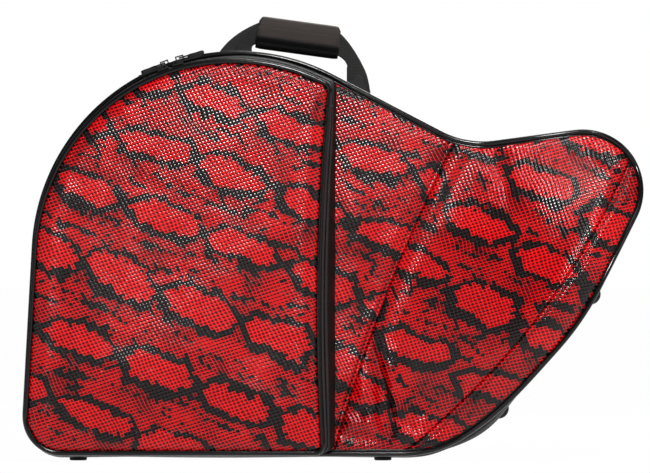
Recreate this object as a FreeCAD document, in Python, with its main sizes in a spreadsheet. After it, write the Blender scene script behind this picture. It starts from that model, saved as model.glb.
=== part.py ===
import FreeCAD, Part
import Sketcher
import math
import os

# French horn case, soft-sided, fixed-bell shape, standing upright on its long flat base.
# X runs along the case, +Y to its back, Z up. The front, with the pocket, faces -Y.
# The origin is the middle of the case on the surface that it stands on.

V = FreeCAD.Vector

# Driving dimensions, millimetres and degrees

SIZES = {
    # side outline, crown from the left end, bell and heel from the right end
    "case_length": 642,
    "case_height": 424,
    "foot_height": 5,
    "toe_radius": 41,
    "crown_x": 222.4,
    "crown_radius": 213,
    "waist_radius": 93,
    "shoulder_z": 281,
    "shoulder_radius": 62,
    "bell_end_x": 66.4,
    "bell_end_z": 143.6,
    "bell_tilt": 35,
    "bell_arc_radius": 310,
    "heel_x": 248.3,
    "heel_radius": 137.7,
    # depth of the two halves
    "case_half_depth": 90,
    "bell_half_depth": 165,
    "end_half_depth": 150,
    "crest_offset": 38,
    "flare_length": 190,
    "bell_spread": 168,
    "parting_y": -30,
    # walls
    "cover_thickness": 5,
    "shell_thickness": 5,
    "lining_thickness": 1.5,
    "piping_proud": 0.4,
    "seat_gap": 0.3,
    # main zipper and fabric hinge
    "tape_width": 10,
    "tape_inset": 1.2,
    "coil_width": 1.2,
    "coil_inset": 0.8,
    "hinge_end_reach": 12,
    # cover seams, as places on the side view, from the right end
    "throat_seam_top_x": 194.5,
    "throat_seam_mid_x": 256.6,
    "throat_seam_low_x": 317.6,
    "throat_seam_top_z": 331,
    "throat_seam_mid_z": 194.4,
    "throat_seam_low_z": 18.5,
    "bell_seam_top_x": 15.4,
    "bell_seam_mid_x": 93,
    "bell_seam_low_x": 243.1,
    "bell_seam_top_z": 308.3,
    "bell_seam_mid_z": 173.7,
    "bell_seam_low_z": 11.2,
    # pocket, x from the crown's centre and z from the top
    "pocket_depth": 35,
    "pocket_wall": 2.5,
    "pocket_side_inset": 1.5,
    "pocket_crown_shift": 4,
    "pocket_crown_drop": 3,
    "pocket_corner_radius": 10,
    "pocket_edge_top_x": 97.8,
    "pocket_edge_low_x": 90.6,
    "pocket_edge_sag": 7.5,
    "pocket_root_top_x": 102,
    "pocket_root_low_x": 101,
    "pocket_root_sag": 1,
    "pocket_tape_width": 14,
    "fold_top_x": -90.5,
    "fold_top_z": -19.4,
    "fold_low_x": 90.6,
    "fold_gap": 0.8,
    # zip sliders and pulls
    "slider_length": 12,
    "slider_width": 11,
    "slider_thickness": 2.4,
    "bridge_length": 9,
    "bridge_width": 2.2,
    "bridge_height": 3.6,
    "bridge_wall": 1.3,
    "pull_length": 26,
    "pull_width": 8.4,
    "pull_thickness": 1.4,
    "pull_arm_width": 2,
    "pull_arm_length": 8,
    "pull_pin_radius": 0.8,
    "main_slider_left_angle": -20.8,
    "main_slider_right_angle": -16.4,
    "pocket_slider_left_angle": -20.8,
    "pocket_slider_right_angle": -16.4,
    # carrying handle, x from the crown's centre and z from the top
    "handle_axis_x": 21.6,
    "handle_axis_z": 2.6,
    "handle_axis_slope": 11.3,
    "webbing_thickness": 2.6,
    "webbing_gap": 0.4,
    "grip_length": 87,
    "grip_height": 31,
    "grip_depth": 22,
    "grip_x": 62.6,
    "grip_z": 14.4,
    "grip_slope": 7.8,
    "grip_wall": 4,
    "grip_flap_height": 16,
    "grip_flap_thickness": 2.2,
    "left_leg_outer_x": -20.4,
    "left_leg_split_x": -2.4,
    "left_leg_inner_x": 14.6,
    "right_leg_inner_x": 113.3,
    "right_leg_outer_x": 139.2,
    "right_leg_elbow_x": 121.6,
    "right_leg_elbow_z": 6.4,
    "right_leg_knee_z": -18,
    "anchor_width": 30,
    # feet, from the nearer end
    "foot_radius": 9,
    "foot_front_y": -66,
    "foot_rear_y": 58,
    "foot_left_x": 57,
    "foot_right_x": 269,
    "foot_edge_radius": 1.5,
    "bumper_radius": 10,
    "bumper_height": 6.5,
    "bumper_y": 58,
    "bumper_upper_angle": 119.2,
    "bumper_lower_angle": 131.8,
    # inside, x of pads and coil from the crown's centre, of the mouthpiece from the right end
    "pad_thickness": 10,
    "pad_margin": 6,
    "pad_right_x": 120.6,
    "cradle_depth": 46,
    "coil_x": -13.4,
    "coil_z": -16,
    "coil_radius": 128,
    "cradle_right_x": 120.6,
    "saddle_station": 205,
    "saddle_length": 34,
    "saddle_span": 150,
    "saddle_height": 46,
    "throat_radius": 44,
    "collar_station": 34,
    "collar_length": 26,
    "collar_web": 3.5,
    "bell_radius": 150,
    "mouthpiece_radius": 14,
    "mouthpiece_block_length": 56,
    "mouthpiece_block_width": 44,
    "mouthpiece_block_height": 40,
    "mouthpiece_bore_depth": 32,
    "mouthpiece_x": 246,
    "mouthpiece_z": 70,
    "mouthpiece_edge_radius": 4,
}

# The waist's room to its neighbours, as shares of the slack between them

WAIST_CROWN_SHARE = 0.1186
WAIST_SHOULDER_SHARE = 0.0993

# Shapes of the depth profile, as shares and powers

FLARE_POWER_SHARE = 1.5
SPREAD_POWER_SHARE = 1.25
GRID_STATION_SHARES = [-0.6, -0.3, -0.15, 0, 0.08, 0.14, 0.18, 0.22, 0.26, 0.32, 0.4, 0.49, 0.58, 0.67,
                       0.76, 0.85, 0.94, 1.03, 1.12, 1.3, 1.7, 2.6, 3.6]
GRID_LATERAL_SHARES = [-3.2, -2.4, -1.7, -1.3, -1.12, -1, -0.88, -0.76, -0.64, -0.52, -0.4, -0.28,
                       -0.14, 0, 0.14, 0.28, 0.4, 0.52, 0.64, 0.76, 0.88, 1, 1.12, 1.3, 1.8]

doc = FreeCAD.newDocument("french_horn_case")
sheet = doc.addObject("Spreadsheet::Sheet", "Sizes")
for row, (alias, number) in enumerate(SIZES.items(), start=1):
    sheet.set("A%d" % row, alias)
    sheet.set("B%d" % row, str(number))
    sheet.setAlias("B%d" % row, alias)
doc.recompute()


def size(alias):
    """The value of one cell of the sheet."""
    return float(sheet.get(alias))


# Places worked out from the driving dimensions

HALF_LENGTH = size("case_length") / 2
PARTING_Y = size("parting_y")
TILT = math.radians(size("bell_tilt"))
BELL_AXIS = V(math.cos(TILT), 0, -math.sin(TILT))
BELL_SIDE = V(math.sin(TILT), 0, math.cos(TILT))
BELL_END = V(HALF_LENGTH - size("bell_end_x"), 0, size("bell_end_z"))
CROWN = V(size("crown_x") - HALF_LENGTH, 0, size("case_height") - size("crown_radius"))
TOE = V(size("toe_radius") - HALF_LENGTH, 0, size("foot_height") + size("toe_radius"))
SHOULDER = V(HALF_LENGTH - size("shoulder_radius"), 0, size("shoulder_z"))
HEEL = V(HALF_LENGTH - size("heel_x"), 0, size("foot_height") + size("heel_radius"))
BELL_ARC = BELL_END - BELL_AXIS * size("bell_arc_radius")
COVER = size("cover_thickness")
SHELL = COVER + size("shell_thickness")
LINING = SHELL + size("lining_thickness")
PROUD = size("piping_proud")
GAP = size("seat_gap")
FAR = size("case_length")


def waist_centre():
    """Above and between crown and shoulder, a little clear of both circles."""
    step = SHOULDER - CROWN
    span = step.Length
    slack = span - size("crown_radius") + size("shoulder_radius")
    reach = size("crown_radius") + size("waist_radius") + WAIST_CROWN_SHARE * slack
    other_reach = size("shoulder_radius") + size("waist_radius") + WAIST_SHOULDER_SHARE * slack
    along = (span ** 2 + reach ** 2 - other_reach ** 2) / (2 * span)
    rise = math.sqrt(reach ** 2 - along ** 2)
    step.normalize()
    return CROWN + step * along + V(-step.z, 0, step.x) * rise

CASE_PULLEYS = [
    (TOE, size("toe_radius")),
    (CROWN, size("crown_radius")),
    (waist_centre(), -size("waist_radius")),
    (SHOULDER, size("shoulder_radius")),
    (BELL_ARC, size("bell_arc_radius")),
    (HEEL, size("heel_radius")),
]

made = {}


def keep(label, shape):
    """One named sub-part from a finished shape."""
    feature = doc.addObject("Part::Feature", label)
    feature.Shape = shape.removeSplitter()
    feature.Placement = FreeCAD.Placement()
    made[label] = feature
    return feature


def name(feature, label):
    """Gives a document object the label of its sub-part."""
    feature.Label = label
    made[label] = feature
    return feature


# Outlines: a belt of tangent lines and arcs round pulleys, clockwise as seen from the front

def belt_tangents(pulleys, inset):
    """Leaving and arriving points of the straight run from each pulley to the next."""
    runs = []
    for index, (centre, radius) in enumerate(pulleys):
        next_centre, next_radius = pulleys[(index + 1) % len(pulleys)]
        radius_from = radius - inset
        radius_to = next_radius - inset
        step = next_centre - centre
        distance = math.hypot(step.x, step.z)
        heading = math.atan2(step.z, step.x) + math.asin((radius_to - radius_from) / distance)
        inward = V(math.sin(heading), 0, -math.cos(heading))
        runs.append((centre - inward * radius_from, next_centre - inward * radius_to))
    return runs


def belt(pulleys, inset, level):
    """The closed outline at one distance inside the belt, in the plane y = level."""
    lift = V(0, level, 0)
    runs = belt_tangents(pulleys, inset)
    edges = []
    for index, (centre, radius) in enumerate(pulleys):
        arrive = runs[index - 1][1]
        leave, land = runs[index]
        middle = (arrive - centre) + (leave - centre)
        middle.normalize()
        top = centre + middle * abs(radius - inset)
        edges.append(Part.Arc(arrive + lift, top + lift, leave + lift).toShape())
        edges.append(Part.LineSegment(leave + lift, land + lift).toShape())
    return Part.Wire(edges)


def outline_spot(pulleys, angle):
    """The furthest point of the outline in a direction from the vertical, and that direction."""
    outward = FreeCAD.Rotation(V(0, 1, 0), angle)
    direction = outward.multVec(V(0, 0, 1))
    centre, radius = max(((c, r) for c, r in pulleys if r > 0), key=lambda p: p[0].dot(direction) + p[1])
    return centre + direction * radius, outward


def slab(pulleys, inset, low_y, high_y):
    """The outline at one inset, filled from low_y to high_y."""
    return Part.Face(belt(pulleys, inset, low_y)).extrude(V(0, high_y - low_y, 0))


def ring(pulleys, outer_inset, inner_inset, low_y, high_y):
    """A wall that follows the outline between two insets."""
    return slab(pulleys, outer_inset, low_y, high_y).cut(slab(pulleys, inner_inset, low_y, high_y))


# Depth of the case: a flat slab that swells over the horn's bell

def half_depth(station, lateral):
    """Half depth at a distance from the bell end and a distance beside the bell axis."""
    crest = size("crest_offset")
    reach = size("flare_length") - crest
    rise = size("bell_half_depth") - size("case_half_depth")
    fall = (size("bell_half_depth") - size("end_half_depth")) / rise
    if station < crest:
        along = max(0, 1 - fall * ((crest - station) / crest) ** 2)
    else:
        along = max(0, (reach - (station - crest)) / reach) ** FLARE_POWER_SHARE
    across = max(0, 1 - (lateral / size("bell_spread")) ** 2) ** SPREAD_POWER_SHARE
    return size("case_half_depth") + rise * along * across


def averages(knots, degree):
    """Where the control points of a clamped spline sit on its parameter line."""
    full = [knots[0]] * degree + knots + [knots[-1]] * degree
    return [sum(full[i + 1:i + 1 + degree]) / degree for i in range(len(full) - degree - 1)]


def depth_block(side, drop):
    """All that lies behind one outer face, which is lowered by drop towards the middle."""
    degree = 3
    stations = [share * size("flare_length") for share in GRID_STATION_SHARES]
    laterals = [share * size("bell_spread") for share in GRID_LATERAL_SHARES]
    poles = []
    for station in averages(stations, degree):
        line = []
        for lateral in averages(laterals, degree):
            place = BELL_END - BELL_AXIS * station + BELL_SIDE * lateral
            line.append(V(place.x, side * (half_depth(station, lateral) - drop), place.z))
        poles.append(line)
    multiplicities = [[degree + 1] + [1] * (len(k) - 2) + [degree + 1] for k in (stations, laterals)]
    surface = Part.BSplineSurface()
    surface.buildFromPolesMultsKnots(poles, multiplicities[0], multiplicities[1], stations, laterals,
                                     False, False, degree, degree)
    return surface.toShape().extrude(V(0, -side * FAR, 0))


BLOCKS = {}


def behind(side, drop):
    """depth_block, made once for each face and drop."""
    if (side, drop) not in BLOCKS:
        BLOCKS[(side, drop)] = depth_block(side, drop)
    return BLOCKS[(side, drop)]


# The half shells: rigid core, covers, side band, piping, lining, pad, zipper and hinge

def y_span(side, near, far):
    """Low and high y of a stretch that starts near the parting plane and runs outwards."""
    ends = (PARTING_Y + side * near, PARTING_Y + side * far)
    return min(ends), max(ends)


def half_solid(side, inset, drop, start):
    """One half of the case, at an inset and a drop, from start beyond the parting plane."""
    low, high = y_span(side, start, FAR)
    return slab(CASE_PULLEYS, inset, low, high).common(behind(side, drop))


def circle_centre(first, second, third):
    """Centre of the circle through three points of the side view."""
    return Part.Circle(first, second, third).Center


def seam_cylinder(seam):
    """A cylinder along Y whose wall runs along one seam of the cover."""
    points = [V(HALF_LENGTH - size("%s_%s_x" % (seam, spot)), 0, size("%s_%s_z" % (seam, spot)))
              for spot in ("top", "mid", "low")]
    centre = circle_centre(*points)
    radius = centre.distanceToPoint(points[0])
    return Part.makeCylinder(radius, 2 * FAR, centre - V(0, FAR, 0), V(0, 1, 0))


def hinge_zone():
    """The straight stretch of the base that the fabric hinge takes."""
    left = TOE.x - size("hinge_end_reach")
    right = HEEL.x + size("hinge_end_reach")
    return Part.makeBox(right - left, 2 * FAR, 3 * COVER, V(left, -FAR, size("foot_height") - COVER))


def left_part(crown_offset):
    """All of space up to one distance right of the crown's centre."""
    length = CROWN.x + crown_offset + HALF_LENGTH
    return Part.makeBox(length, 2 * FAR, FAR, V(-HALF_LENGTH, -FAR, 0))


def make_half(half, side):
    edge = GAP / 2
    coil_end = size("coil_width")
    tape_end = size("tape_width")
    keep(half + "_shell", half_solid(side, COVER, COVER, edge).cut(half_solid(side, SHELL, SHELL, 0)))
    keep(half + "_lining", half_solid(side, SHELL, SHELL, edge).cut(half_solid(side, LINING, LINING, 0)))

    low, high = y_span(side, tape_end, FAR)
    cover = slab(CASE_PULLEYS, COVER, low, high).common(behind(side, 0)).cut(behind(side, COVER))
    throat = seam_cylinder("throat_seam")
    bell = seam_cylinder("bell_seam")
    keep(half + "_cover_body", cover.cut(throat))
    keep(half + "_cover_flare", cover.common(throat).common(bell))
    keep(half + "_cover_rim", cover.common(throat).cut(bell))
    keep(half + "_side_band", ring(CASE_PULLEYS, 0, COVER, low, high).common(behind(side, COVER)))
    bead = ring(CASE_PULLEYS, -PROUD, COVER - GAP, low, high)
    keep(half + "_piping", bead.common(behind(side, -PROUD)).cut(behind(side, COVER - GAP)))

    low, high = y_span(side, coil_end, tape_end)
    tape = ring(CASE_PULLEYS, size("tape_inset"), COVER, low, high)
    keep(half + "_zip_tape", tape.cut(hinge_zone()))
    low, high = y_span(side, edge, tape_end)
    leaf = ring(CASE_PULLEYS, size("tape_inset"), COVER, low, high)
    keep(half + "_hinge_leaf", leaf.common(hinge_zone()))
    low, high = y_span(side, edge, coil_end)
    coil = ring(CASE_PULLEYS, size("coil_inset"), COVER, low, high)
    keep(half + "_zip_coil", coil.cut(hinge_zone()))

    lining_face = size("case_half_depth") - LINING
    ends = (side * lining_face, side * (lining_face - size("pad_thickness")))
    pad = slab(CASE_PULLEYS, LINING + size("pad_margin"), min(ends), max(ends))
    keep(half + "_pad", pad.common(left_part(size("pad_right_x"))))


# The pocket on the lid

def pocket_pulleys(inset, crown_shift, crown_drop, top_offset, low_offset, sag):
    """Pulleys of one outline of the pocket: at its root on the lid, or at its front edge."""
    corner = size("pocket_corner_radius")
    top_x = CROWN.x + top_offset
    low_x = CROWN.x + low_offset
    nudge = GAP
    crown_radius = size("crown_radius") - inset - crown_shift
    crown = CROWN - V(crown_shift, 0, crown_drop)
    top_corner_x = top_x - corner
    across = top_corner_x - crown.x
    reach = crown_radius - corner + nudge
    top_corner = V(top_corner_x, 0, crown.z + math.sqrt(reach ** 2 - across ** 2))
    low_corner = V(low_x - corner, 0, size("foot_height") + inset + corner)
    middle = V((top_x + low_x) / 2 - sag, 0, (top_corner.z + low_corner.z) / 2)
    hollow = circle_centre(V(top_x, 0, top_corner.z), middle, V(low_x, 0, low_corner.z))
    hollow_radius = hollow.distanceToPoint(middle) - nudge
    return [(TOE, size("toe_radius") - inset), (crown, crown_radius), (top_corner, corner),
            (hollow, -hollow_radius), (low_corner, corner)]


POCKET_ROOT_Y = -size("case_half_depth")
POCKET_EDGE_Y = POCKET_ROOT_Y - size("pocket_depth") + COVER
POCKET_FACE_Y = POCKET_EDGE_Y - COVER
ROOT_PULLEYS = pocket_pulleys(COVER + GAP, 0, 0, size("pocket_root_top_x"), size("pocket_root_low_x"),
                              size("pocket_root_sag"))
EDGE_PULLEYS = pocket_pulleys(size("pocket_side_inset"), size("pocket_crown_shift"),
                              size("pocket_crown_drop"), size("pocket_edge_top_x"),
                              size("pocket_edge_low_x"), size("pocket_edge_sag"))
FOLD_TOP = V(CROWN.x + size("fold_top_x"), 0, size("case_height") + size("fold_top_z"))
FOLD_LOW = V(CROWN.x + size("fold_low_x"), 0, size("foot_height"))


def fold_side(offset):
    """The space right of the pocket's fold line, which is shifted by offset to the right."""
    along = FOLD_LOW - FOLD_TOP
    along.normalize()
    right = V(-along.z, 0, along.x)
    start = FOLD_TOP - along * FAR + right * offset - V(0, FAR, 0)
    finish = FOLD_LOW + along * FAR + right * offset - V(0, FAR, 0)
    outline = [start, finish, finish + right * FAR, start + right * FAR, start]
    return Part.Face(Part.makePolygon(outline)).extrude(V(0, 2 * FAR, 0))


def pocket_frustum(inset):
    """The pocket's sloping side from its root to its front edge."""
    wires = [belt(ROOT_PULLEYS, inset, POCKET_ROOT_Y), belt(EDGE_PULLEYS, inset, POCKET_EDGE_Y)]
    return Part.makeLoft(wires, True, True)


def make_pocket():
    wall = pocket_frustum(0).cut(pocket_frustum(size("pocket_wall")))
    tape_low = POCKET_EDGE_Y
    tape_high = POCKET_EDGE_Y + size("pocket_tape_width")
    tape_space = Part.makeBox(2 * FAR, tape_high - tape_low, 2 * FAR, V(-FAR, tape_low, -FAR))
    tape_space = tape_space.common(fold_side(0))
    keep("pocket_gusset", wall.cut(tape_space))
    keep("pocket_zip_tape", wall.common(tape_space))
    panel = slab(EDGE_PULLEYS, COVER, POCKET_FACE_Y, POCKET_EDGE_Y)
    bead = ring(EDGE_PULLEYS, -PROUD, COVER - GAP, POCKET_FACE_Y - PROUD, POCKET_EDGE_Y - GAP)
    gap = size("fold_gap") / 2
    keep("pocket_panel", panel.cut(fold_side(-gap)))
    keep("pocket_piping", bead.cut(fold_side(-gap)))
    keep("pocket_flap", panel.common(fold_side(gap)))
    keep("pocket_flap_piping", bead.common(fold_side(gap)))


# Zip sliders: a body with a bridge, and a pull whose pin runs under the bridge

def bound(kind, object_name, **formulas):
    """A primitive whose sizes follow the sheet."""
    feature = doc.addObject(kind, object_name)
    for prop, formula in formulas.items():
        feature.setExpression(prop.replace("__", "."), formula)
    return feature


def boolean(kind, object_name, base, tool):
    feature = doc.addObject(kind, object_name)
    feature.Base = base
    feature.Tool = tool
    return feature


def slider_body(label):
    plate = bound("Part::Box", label + "_plate", Length="Sizes.slider_length",
                  Width="Sizes.slider_width", Height="Sizes.slider_thickness",
                  Placement__Base__x="-Sizes.slider_length / 2",
                  Placement__Base__y="-Sizes.slider_width / 2")
    rounded = doc.addObject("Part::Fillet", label + "_rounded")
    rounded.Base = plate
    doc.recompute()
    radius = size("slider_thickness") / 3
    rounded.Edges = [(number, radius, radius) for number in range(1, len(plate.Shape.Edges) + 1)]
    arch = bound("Part::Box", label + "_arch", Length="Sizes.bridge_length",
                 Width="Sizes.bridge_width",
                 Height="Sizes.bridge_height + Sizes.slider_thickness / 2",
                 Placement__Base__x="-Sizes.bridge_length / 2",
                 Placement__Base__y="-Sizes.bridge_width / 2",
                 Placement__Base__z="Sizes.slider_thickness / 2")
    window = bound("Part::Box", label + "_window",
                   Length="Sizes.bridge_length - 2 * Sizes.bridge_wall",
                   Width="Sizes.slider_width",
                   Height="Sizes.bridge_height - Sizes.bridge_wall",
                   Placement__Base__x="Sizes.bridge_wall - Sizes.bridge_length / 2",
                   Placement__Base__y="-Sizes.slider_width / 2",
                   Placement__Base__z="Sizes.slider_thickness")
    bridge = boolean("Part::Cut", label + "_bridge", arch, window)
    return name(boolean("Part::Fuse", label, rounded, bridge), label)


def slider_pull(label, way):
    """The pull lies towards -X when way is -1, and towards +X when it is 1."""
    middle = "Sizes.slider_thickness + (Sizes.bridge_height - Sizes.bridge_wall) / 2"
    pin = bound("Part::Cylinder", label + "_pin", Radius="Sizes.pull_pin_radius",
                Height="Sizes.pull_width", Placement__Base__y="Sizes.pull_width / 2",
                Placement__Base__z=middle)
    pin.Placement.Rotation = FreeCAD.Rotation(V(1, 0, 0), 90)
    tab = bound("Part::Box", label + "_tab", Length="Sizes.pull_length",
                Width="Sizes.pull_width", Height="Sizes.pull_thickness",
                Placement__Base__x="%d * Sizes.pull_length" % min(0, way),
                Placement__Base__y="-Sizes.pull_width / 2",
                Placement__Base__z=middle + " - Sizes.pull_thickness / 2")
    notch_start = "-Sizes.pull_arm_length" if way < 0 else "-Sizes.pull_pin_radius * 2"
    notch = bound("Part::Box", label + "_notch",
                  Length="Sizes.pull_arm_length + 2 * Sizes.pull_pin_radius",
                  Width="Sizes.pull_width - 2 * Sizes.pull_arm_width",
                  Height="2 * Sizes.bridge_height", Placement__Base__x=notch_start,
                  Placement__Base__y="Sizes.pull_arm_width - Sizes.pull_width / 2",
                  Placement__Base__z="Sizes.slider_thickness - Sizes.bridge_wall")
    eye = boolean("Part::Cut", label + "_eye", tab, notch)
    return name(boolean("Part::Fuse", label, eye, pin), label)


def on_arc(feature, centre, radius, angle, level):
    """Places a piece on an arc about centre: its Z outwards, its X along the arc."""
    turn = FreeCAD.Rotation(V(0, 1, 0), angle)
    feature.Placement = FreeCAD.Placement(centre + turn.multVec(V(0, 0, radius)) + V(0, level, 0), turn)


def pocket_surface_radius(level):
    """Distance from the crown's centre of the pocket's sloping side, at one depth."""
    share = (level - POCKET_ROOT_Y) / (POCKET_EDGE_Y - POCKET_ROOT_Y)
    root_centre, root_radius = ROOT_PULLEYS[1]
    edge_centre, edge_radius = EDGE_PULLEYS[1]
    centre = root_centre + (edge_centre - root_centre) * share
    return centre, root_radius + (edge_radius - root_radius) * share


def make_sliders():
    main_radius = size("crown_radius") - size("coil_inset") + GAP
    for place, way in (("left", -1), ("right", 1)):
        label = "main_slider_" + place
        angle = size(label + "_angle")
        for piece in (slider_body(label), slider_pull(label + "_pull", way)):
            on_arc(piece, CROWN, main_radius, angle, PARTING_Y)
    level = POCKET_EDGE_Y + size("pocket_tape_width") / 2
    centre, radius = pocket_surface_radius(level + size("slider_width") / 2)
    for place, way in (("left", -1), ("right", 1)):
        label = "pocket_slider_" + place
        angle = size(label + "_angle")
        for piece in (slider_body(label), slider_pull(label + "_pull", way)):
            on_arc(piece, centre, radius + GAP, angle, level)


# The carrying handle and its anchors

HANDLE_SLOPE = math.radians(size("handle_axis_slope"))
HANDLE_ALONG = V(math.cos(HANDLE_SLOPE), 0, -math.sin(HANDLE_SLOPE))
HANDLE_UP = V(math.sin(HANDLE_SLOPE), 0, math.cos(HANDLE_SLOPE))
LEG_ROUND = size("webbing_thickness") + size("webbing_gap") / 2


def over_crown(x, z):
    """A place given from the crown's centre line and from the top of the case."""
    return V(CROWN.x + x, 0, size("case_height") + z)


HANDLE_AXIS = over_crown(size("handle_axis_x"), size("handle_axis_z"))


def axis_height(x):
    """Height of the handle's swing axis at x."""
    return HANDLE_AXIS.z - (x - HANDLE_AXIS.x) * math.tan(HANDLE_SLOPE)


def grip_frame():
    slope = FreeCAD.Rotation(V(0, 1, 0), size("grip_slope"))
    return FreeCAD.Placement(over_crown(size("grip_x"), size("grip_z")), slope)


def leg_foot(crown_offset):
    """The low end of one edge of a handle leg, under the swing axis."""
    x = CROWN.x + crown_offset
    return V(x, 0, axis_height(x) - LEG_ROUND)


def strap_plate(left_outer, left_inner, low_y, high_y):
    """One webbing strap from the left anchor through the grip to the right anchor."""
    frame = grip_frame()
    half = size("grip_length") / 2
    web = size("grip_height") / 2 - size("grip_wall")
    right_inner = leg_foot(size("right_leg_inner_x"))
    knee = over_crown(size("right_leg_inner_x"), size("right_leg_knee_z"))
    knee.z = max(knee.z, right_inner.z + 2 * LEG_ROUND)
    outline = [
        leg_foot(left_outer),
        frame.multVec(V(-half, 0, web)),
        frame.multVec(V(half, 0, web)),
        over_crown(size("right_leg_elbow_x"), size("right_leg_elbow_z")),
        leg_foot(size("right_leg_outer_x")),
        right_inner,
        knee,
        frame.multVec(V(half, 0, -web)),
        frame.multVec(V(-half, 0, -web)),
        leg_foot(left_inner),
    ]
    outline.append(outline[0])
    outline = [point + V(0, low_y, 0) for point in outline]
    plate = Part.Face(Part.makePolygon(outline)).extrude(V(0, high_y - low_y, 0))
    start = HANDLE_AXIS - HANDLE_ALONG * FAR
    above = Part.makeBox(2 * FAR, 2 * FAR, FAR)
    turn = FreeCAD.Rotation(V(0, 1, 0), size("handle_axis_slope"))
    above.Placement = FreeCAD.Placement(start - V(0, FAR, 0), turn)
    rod = Part.makeCylinder(LEG_ROUND, 2 * FAR, start, HANDLE_ALONG)
    return plate.common(above.fuse(rod))


def anchor_block(left_offset, right_offset):
    """The sewn anchor between the side band and the rounded foot of a handle leg."""
    half = size("anchor_width") / 2
    top = LEG_ROUND + GAP
    left_x = CROWN.x + left_offset
    right_x = CROWN.x + right_offset
    outline = [V(left_x, -half, CROWN.z), V(right_x, -half, CROWN.z),
               V(right_x, -half, axis_height(right_x)) - HANDLE_UP * top,
               V(left_x, -half, axis_height(left_x)) - HANDLE_UP * top, V(left_x, -half, CROWN.z)]
    block = Part.Face(Part.makePolygon(outline)).extrude(V(0, 2 * half, 0))
    return block.cut(slab(CASE_PULLEYS, 0, -FAR, FAR))


def make_handle():
    near = size("webbing_gap") / 2
    far = LEG_ROUND
    wrap_space = Part.makeBox(size("grip_length"), size("grip_depth"), size("grip_height"),
                              V(-size("grip_length") / 2, -size("grip_depth") / 2, -size("grip_height") / 2))
    hollow = Part.makeBox(size("grip_length"), 2 * (far + GAP), size("grip_height") - 2 * size("grip_wall") + 2 * GAP,
                          V(-size("grip_length") / 2, -far - GAP, size("grip_wall") - GAP - size("grip_height") / 2))
    long_edges = [edge for edge in wrap_space.Edges if abs(edge.tangentAt(edge.FirstParameter).x) > 0.5]
    wrap = wrap_space.makeFillet(size("grip_depth") / 3, long_edges).cut(hollow)
    wrap.Placement = grip_frame()
    keep("handle_front_strap", strap_plate(size("left_leg_split_x"), size("left_leg_inner_x"), -far, -near))
    keep("handle_rear_strap", strap_plate(size("left_leg_outer_x"), size("left_leg_split_x"), near, far))
    keep("grip_wrap", wrap)
    flap = Part.makeBox(size("grip_length"), size("grip_flap_thickness"), size("grip_flap_height"),
                        V(-size("grip_length") / 2, -size("grip_depth") / 2 - GAP - size("grip_flap_thickness"),
                          size("grip_height") / 2 - size("grip_depth") / 3 - size("grip_flap_height")))
    flap.Placement = grip_frame()
    keep("grip_flap", flap)
    keep("handle_anchor_left", anchor_block(size("left_leg_outer_x"), size("left_leg_inner_x")))
    keep("handle_anchor_right", anchor_block(size("right_leg_inner_x"), size("right_leg_outer_x")))


# Feet under the base and bumpers on the bell end

def origin_plane(body, role):
    return next(feature for feature in body.Origin.OriginFeatures if feature.Role == role)


def round_foot(label, x_formula, y_alias):
    """A round rubber foot: a padded circle with a rounded lower rim."""
    body = doc.addObject("PartDesign::Body", label)
    sketch = body.newObject("Sketcher::SketchObject", label + "_circle")
    sketch.AttachmentSupport = [(origin_plane(body, "XY_Plane"), "")]
    sketch.MapMode = "FlatFace"
    sketch.addGeometry(Part.Circle(V(0, 0, 0), V(0, 0, 1), size("foot_radius")))
    sketch.addConstraint(Sketcher.Constraint("Coincident", 0, 3, -1, 1))
    sketch.addConstraint(Sketcher.Constraint("Radius", 0, size("foot_radius")))
    sketch.renameConstraint(1, "radius")
    sketch.setExpression("Constraints.radius", "Sizes.foot_radius")
    pad = body.newObject("PartDesign::Pad", label + "_pad")
    pad.Profile = sketch
    pad.setExpression("Length", "Sizes.foot_height")
    doc.recompute()
    rim = body.newObject("PartDesign::Fillet", label + "_rim")
    rim.Base = (pad, [edge_name(pad.Shape, 0)])
    rim.setExpression("Radius", "Sizes.foot_edge_radius")
    body.setExpression("Placement.Base.x", x_formula)
    body.setExpression("Placement.Base.y", "Sizes." + y_alias)
    return body


def edge_name(shape, height):
    """The round edge of a shape that lies at one height."""
    for number, edge in enumerate(shape.Edges, start=1):
        if edge.Closed and abs(edge.CenterOfMass.z - height) < edge.Tolerance:
            return "Edge%d" % number


def group(label, members):
    compound = doc.addObject("Part::Compound", label)
    compound.Links = members
    return name(compound, label)


def make_feet():
    places = {"left": "Sizes.foot_left_x - Sizes.case_length / 2",
              "right": "Sizes.case_length / 2 - Sizes.foot_right_x"}
    for half, y_alias in (("lid", "foot_front_y"), ("tray", "foot_rear_y")):
        feet = [round_foot("%s_foot_%s" % (half, spot), formula, y_alias) for spot, formula in places.items()]
        group(half + "_base_feet", feet)


def bumper(angle, level):
    """A domed rubber stud on the bell end, facing at an angle from the vertical."""
    radius = size("bumper_radius")
    height = size("bumper_height")
    ball = (radius ** 2 + height ** 2) / (2 * height)
    dome = Part.makeSphere(ball, V(0, 0, height - ball)).common(Part.makeCylinder(radius, height))
    spot, outward = outline_spot(CASE_PULLEYS, angle)
    dome.Placement = FreeCAD.Placement(spot + V(0, level, 0), outward)
    return dome


def make_bumpers():
    for half, side in (("lid", -1), ("tray", 1)):
        level = side * size("bumper_y")
        domes = [bumper(size("bumper_%s_angle" % spot), level) for spot in ("upper", "lower")]
        keep(half + "_bell_bumpers", Part.makeCompound(domes))


# Inside the tray: what holds the horn

def tray_room():
    """The free space inside the tray."""
    return half_solid(1, LINING, LINING, GAP)


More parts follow.
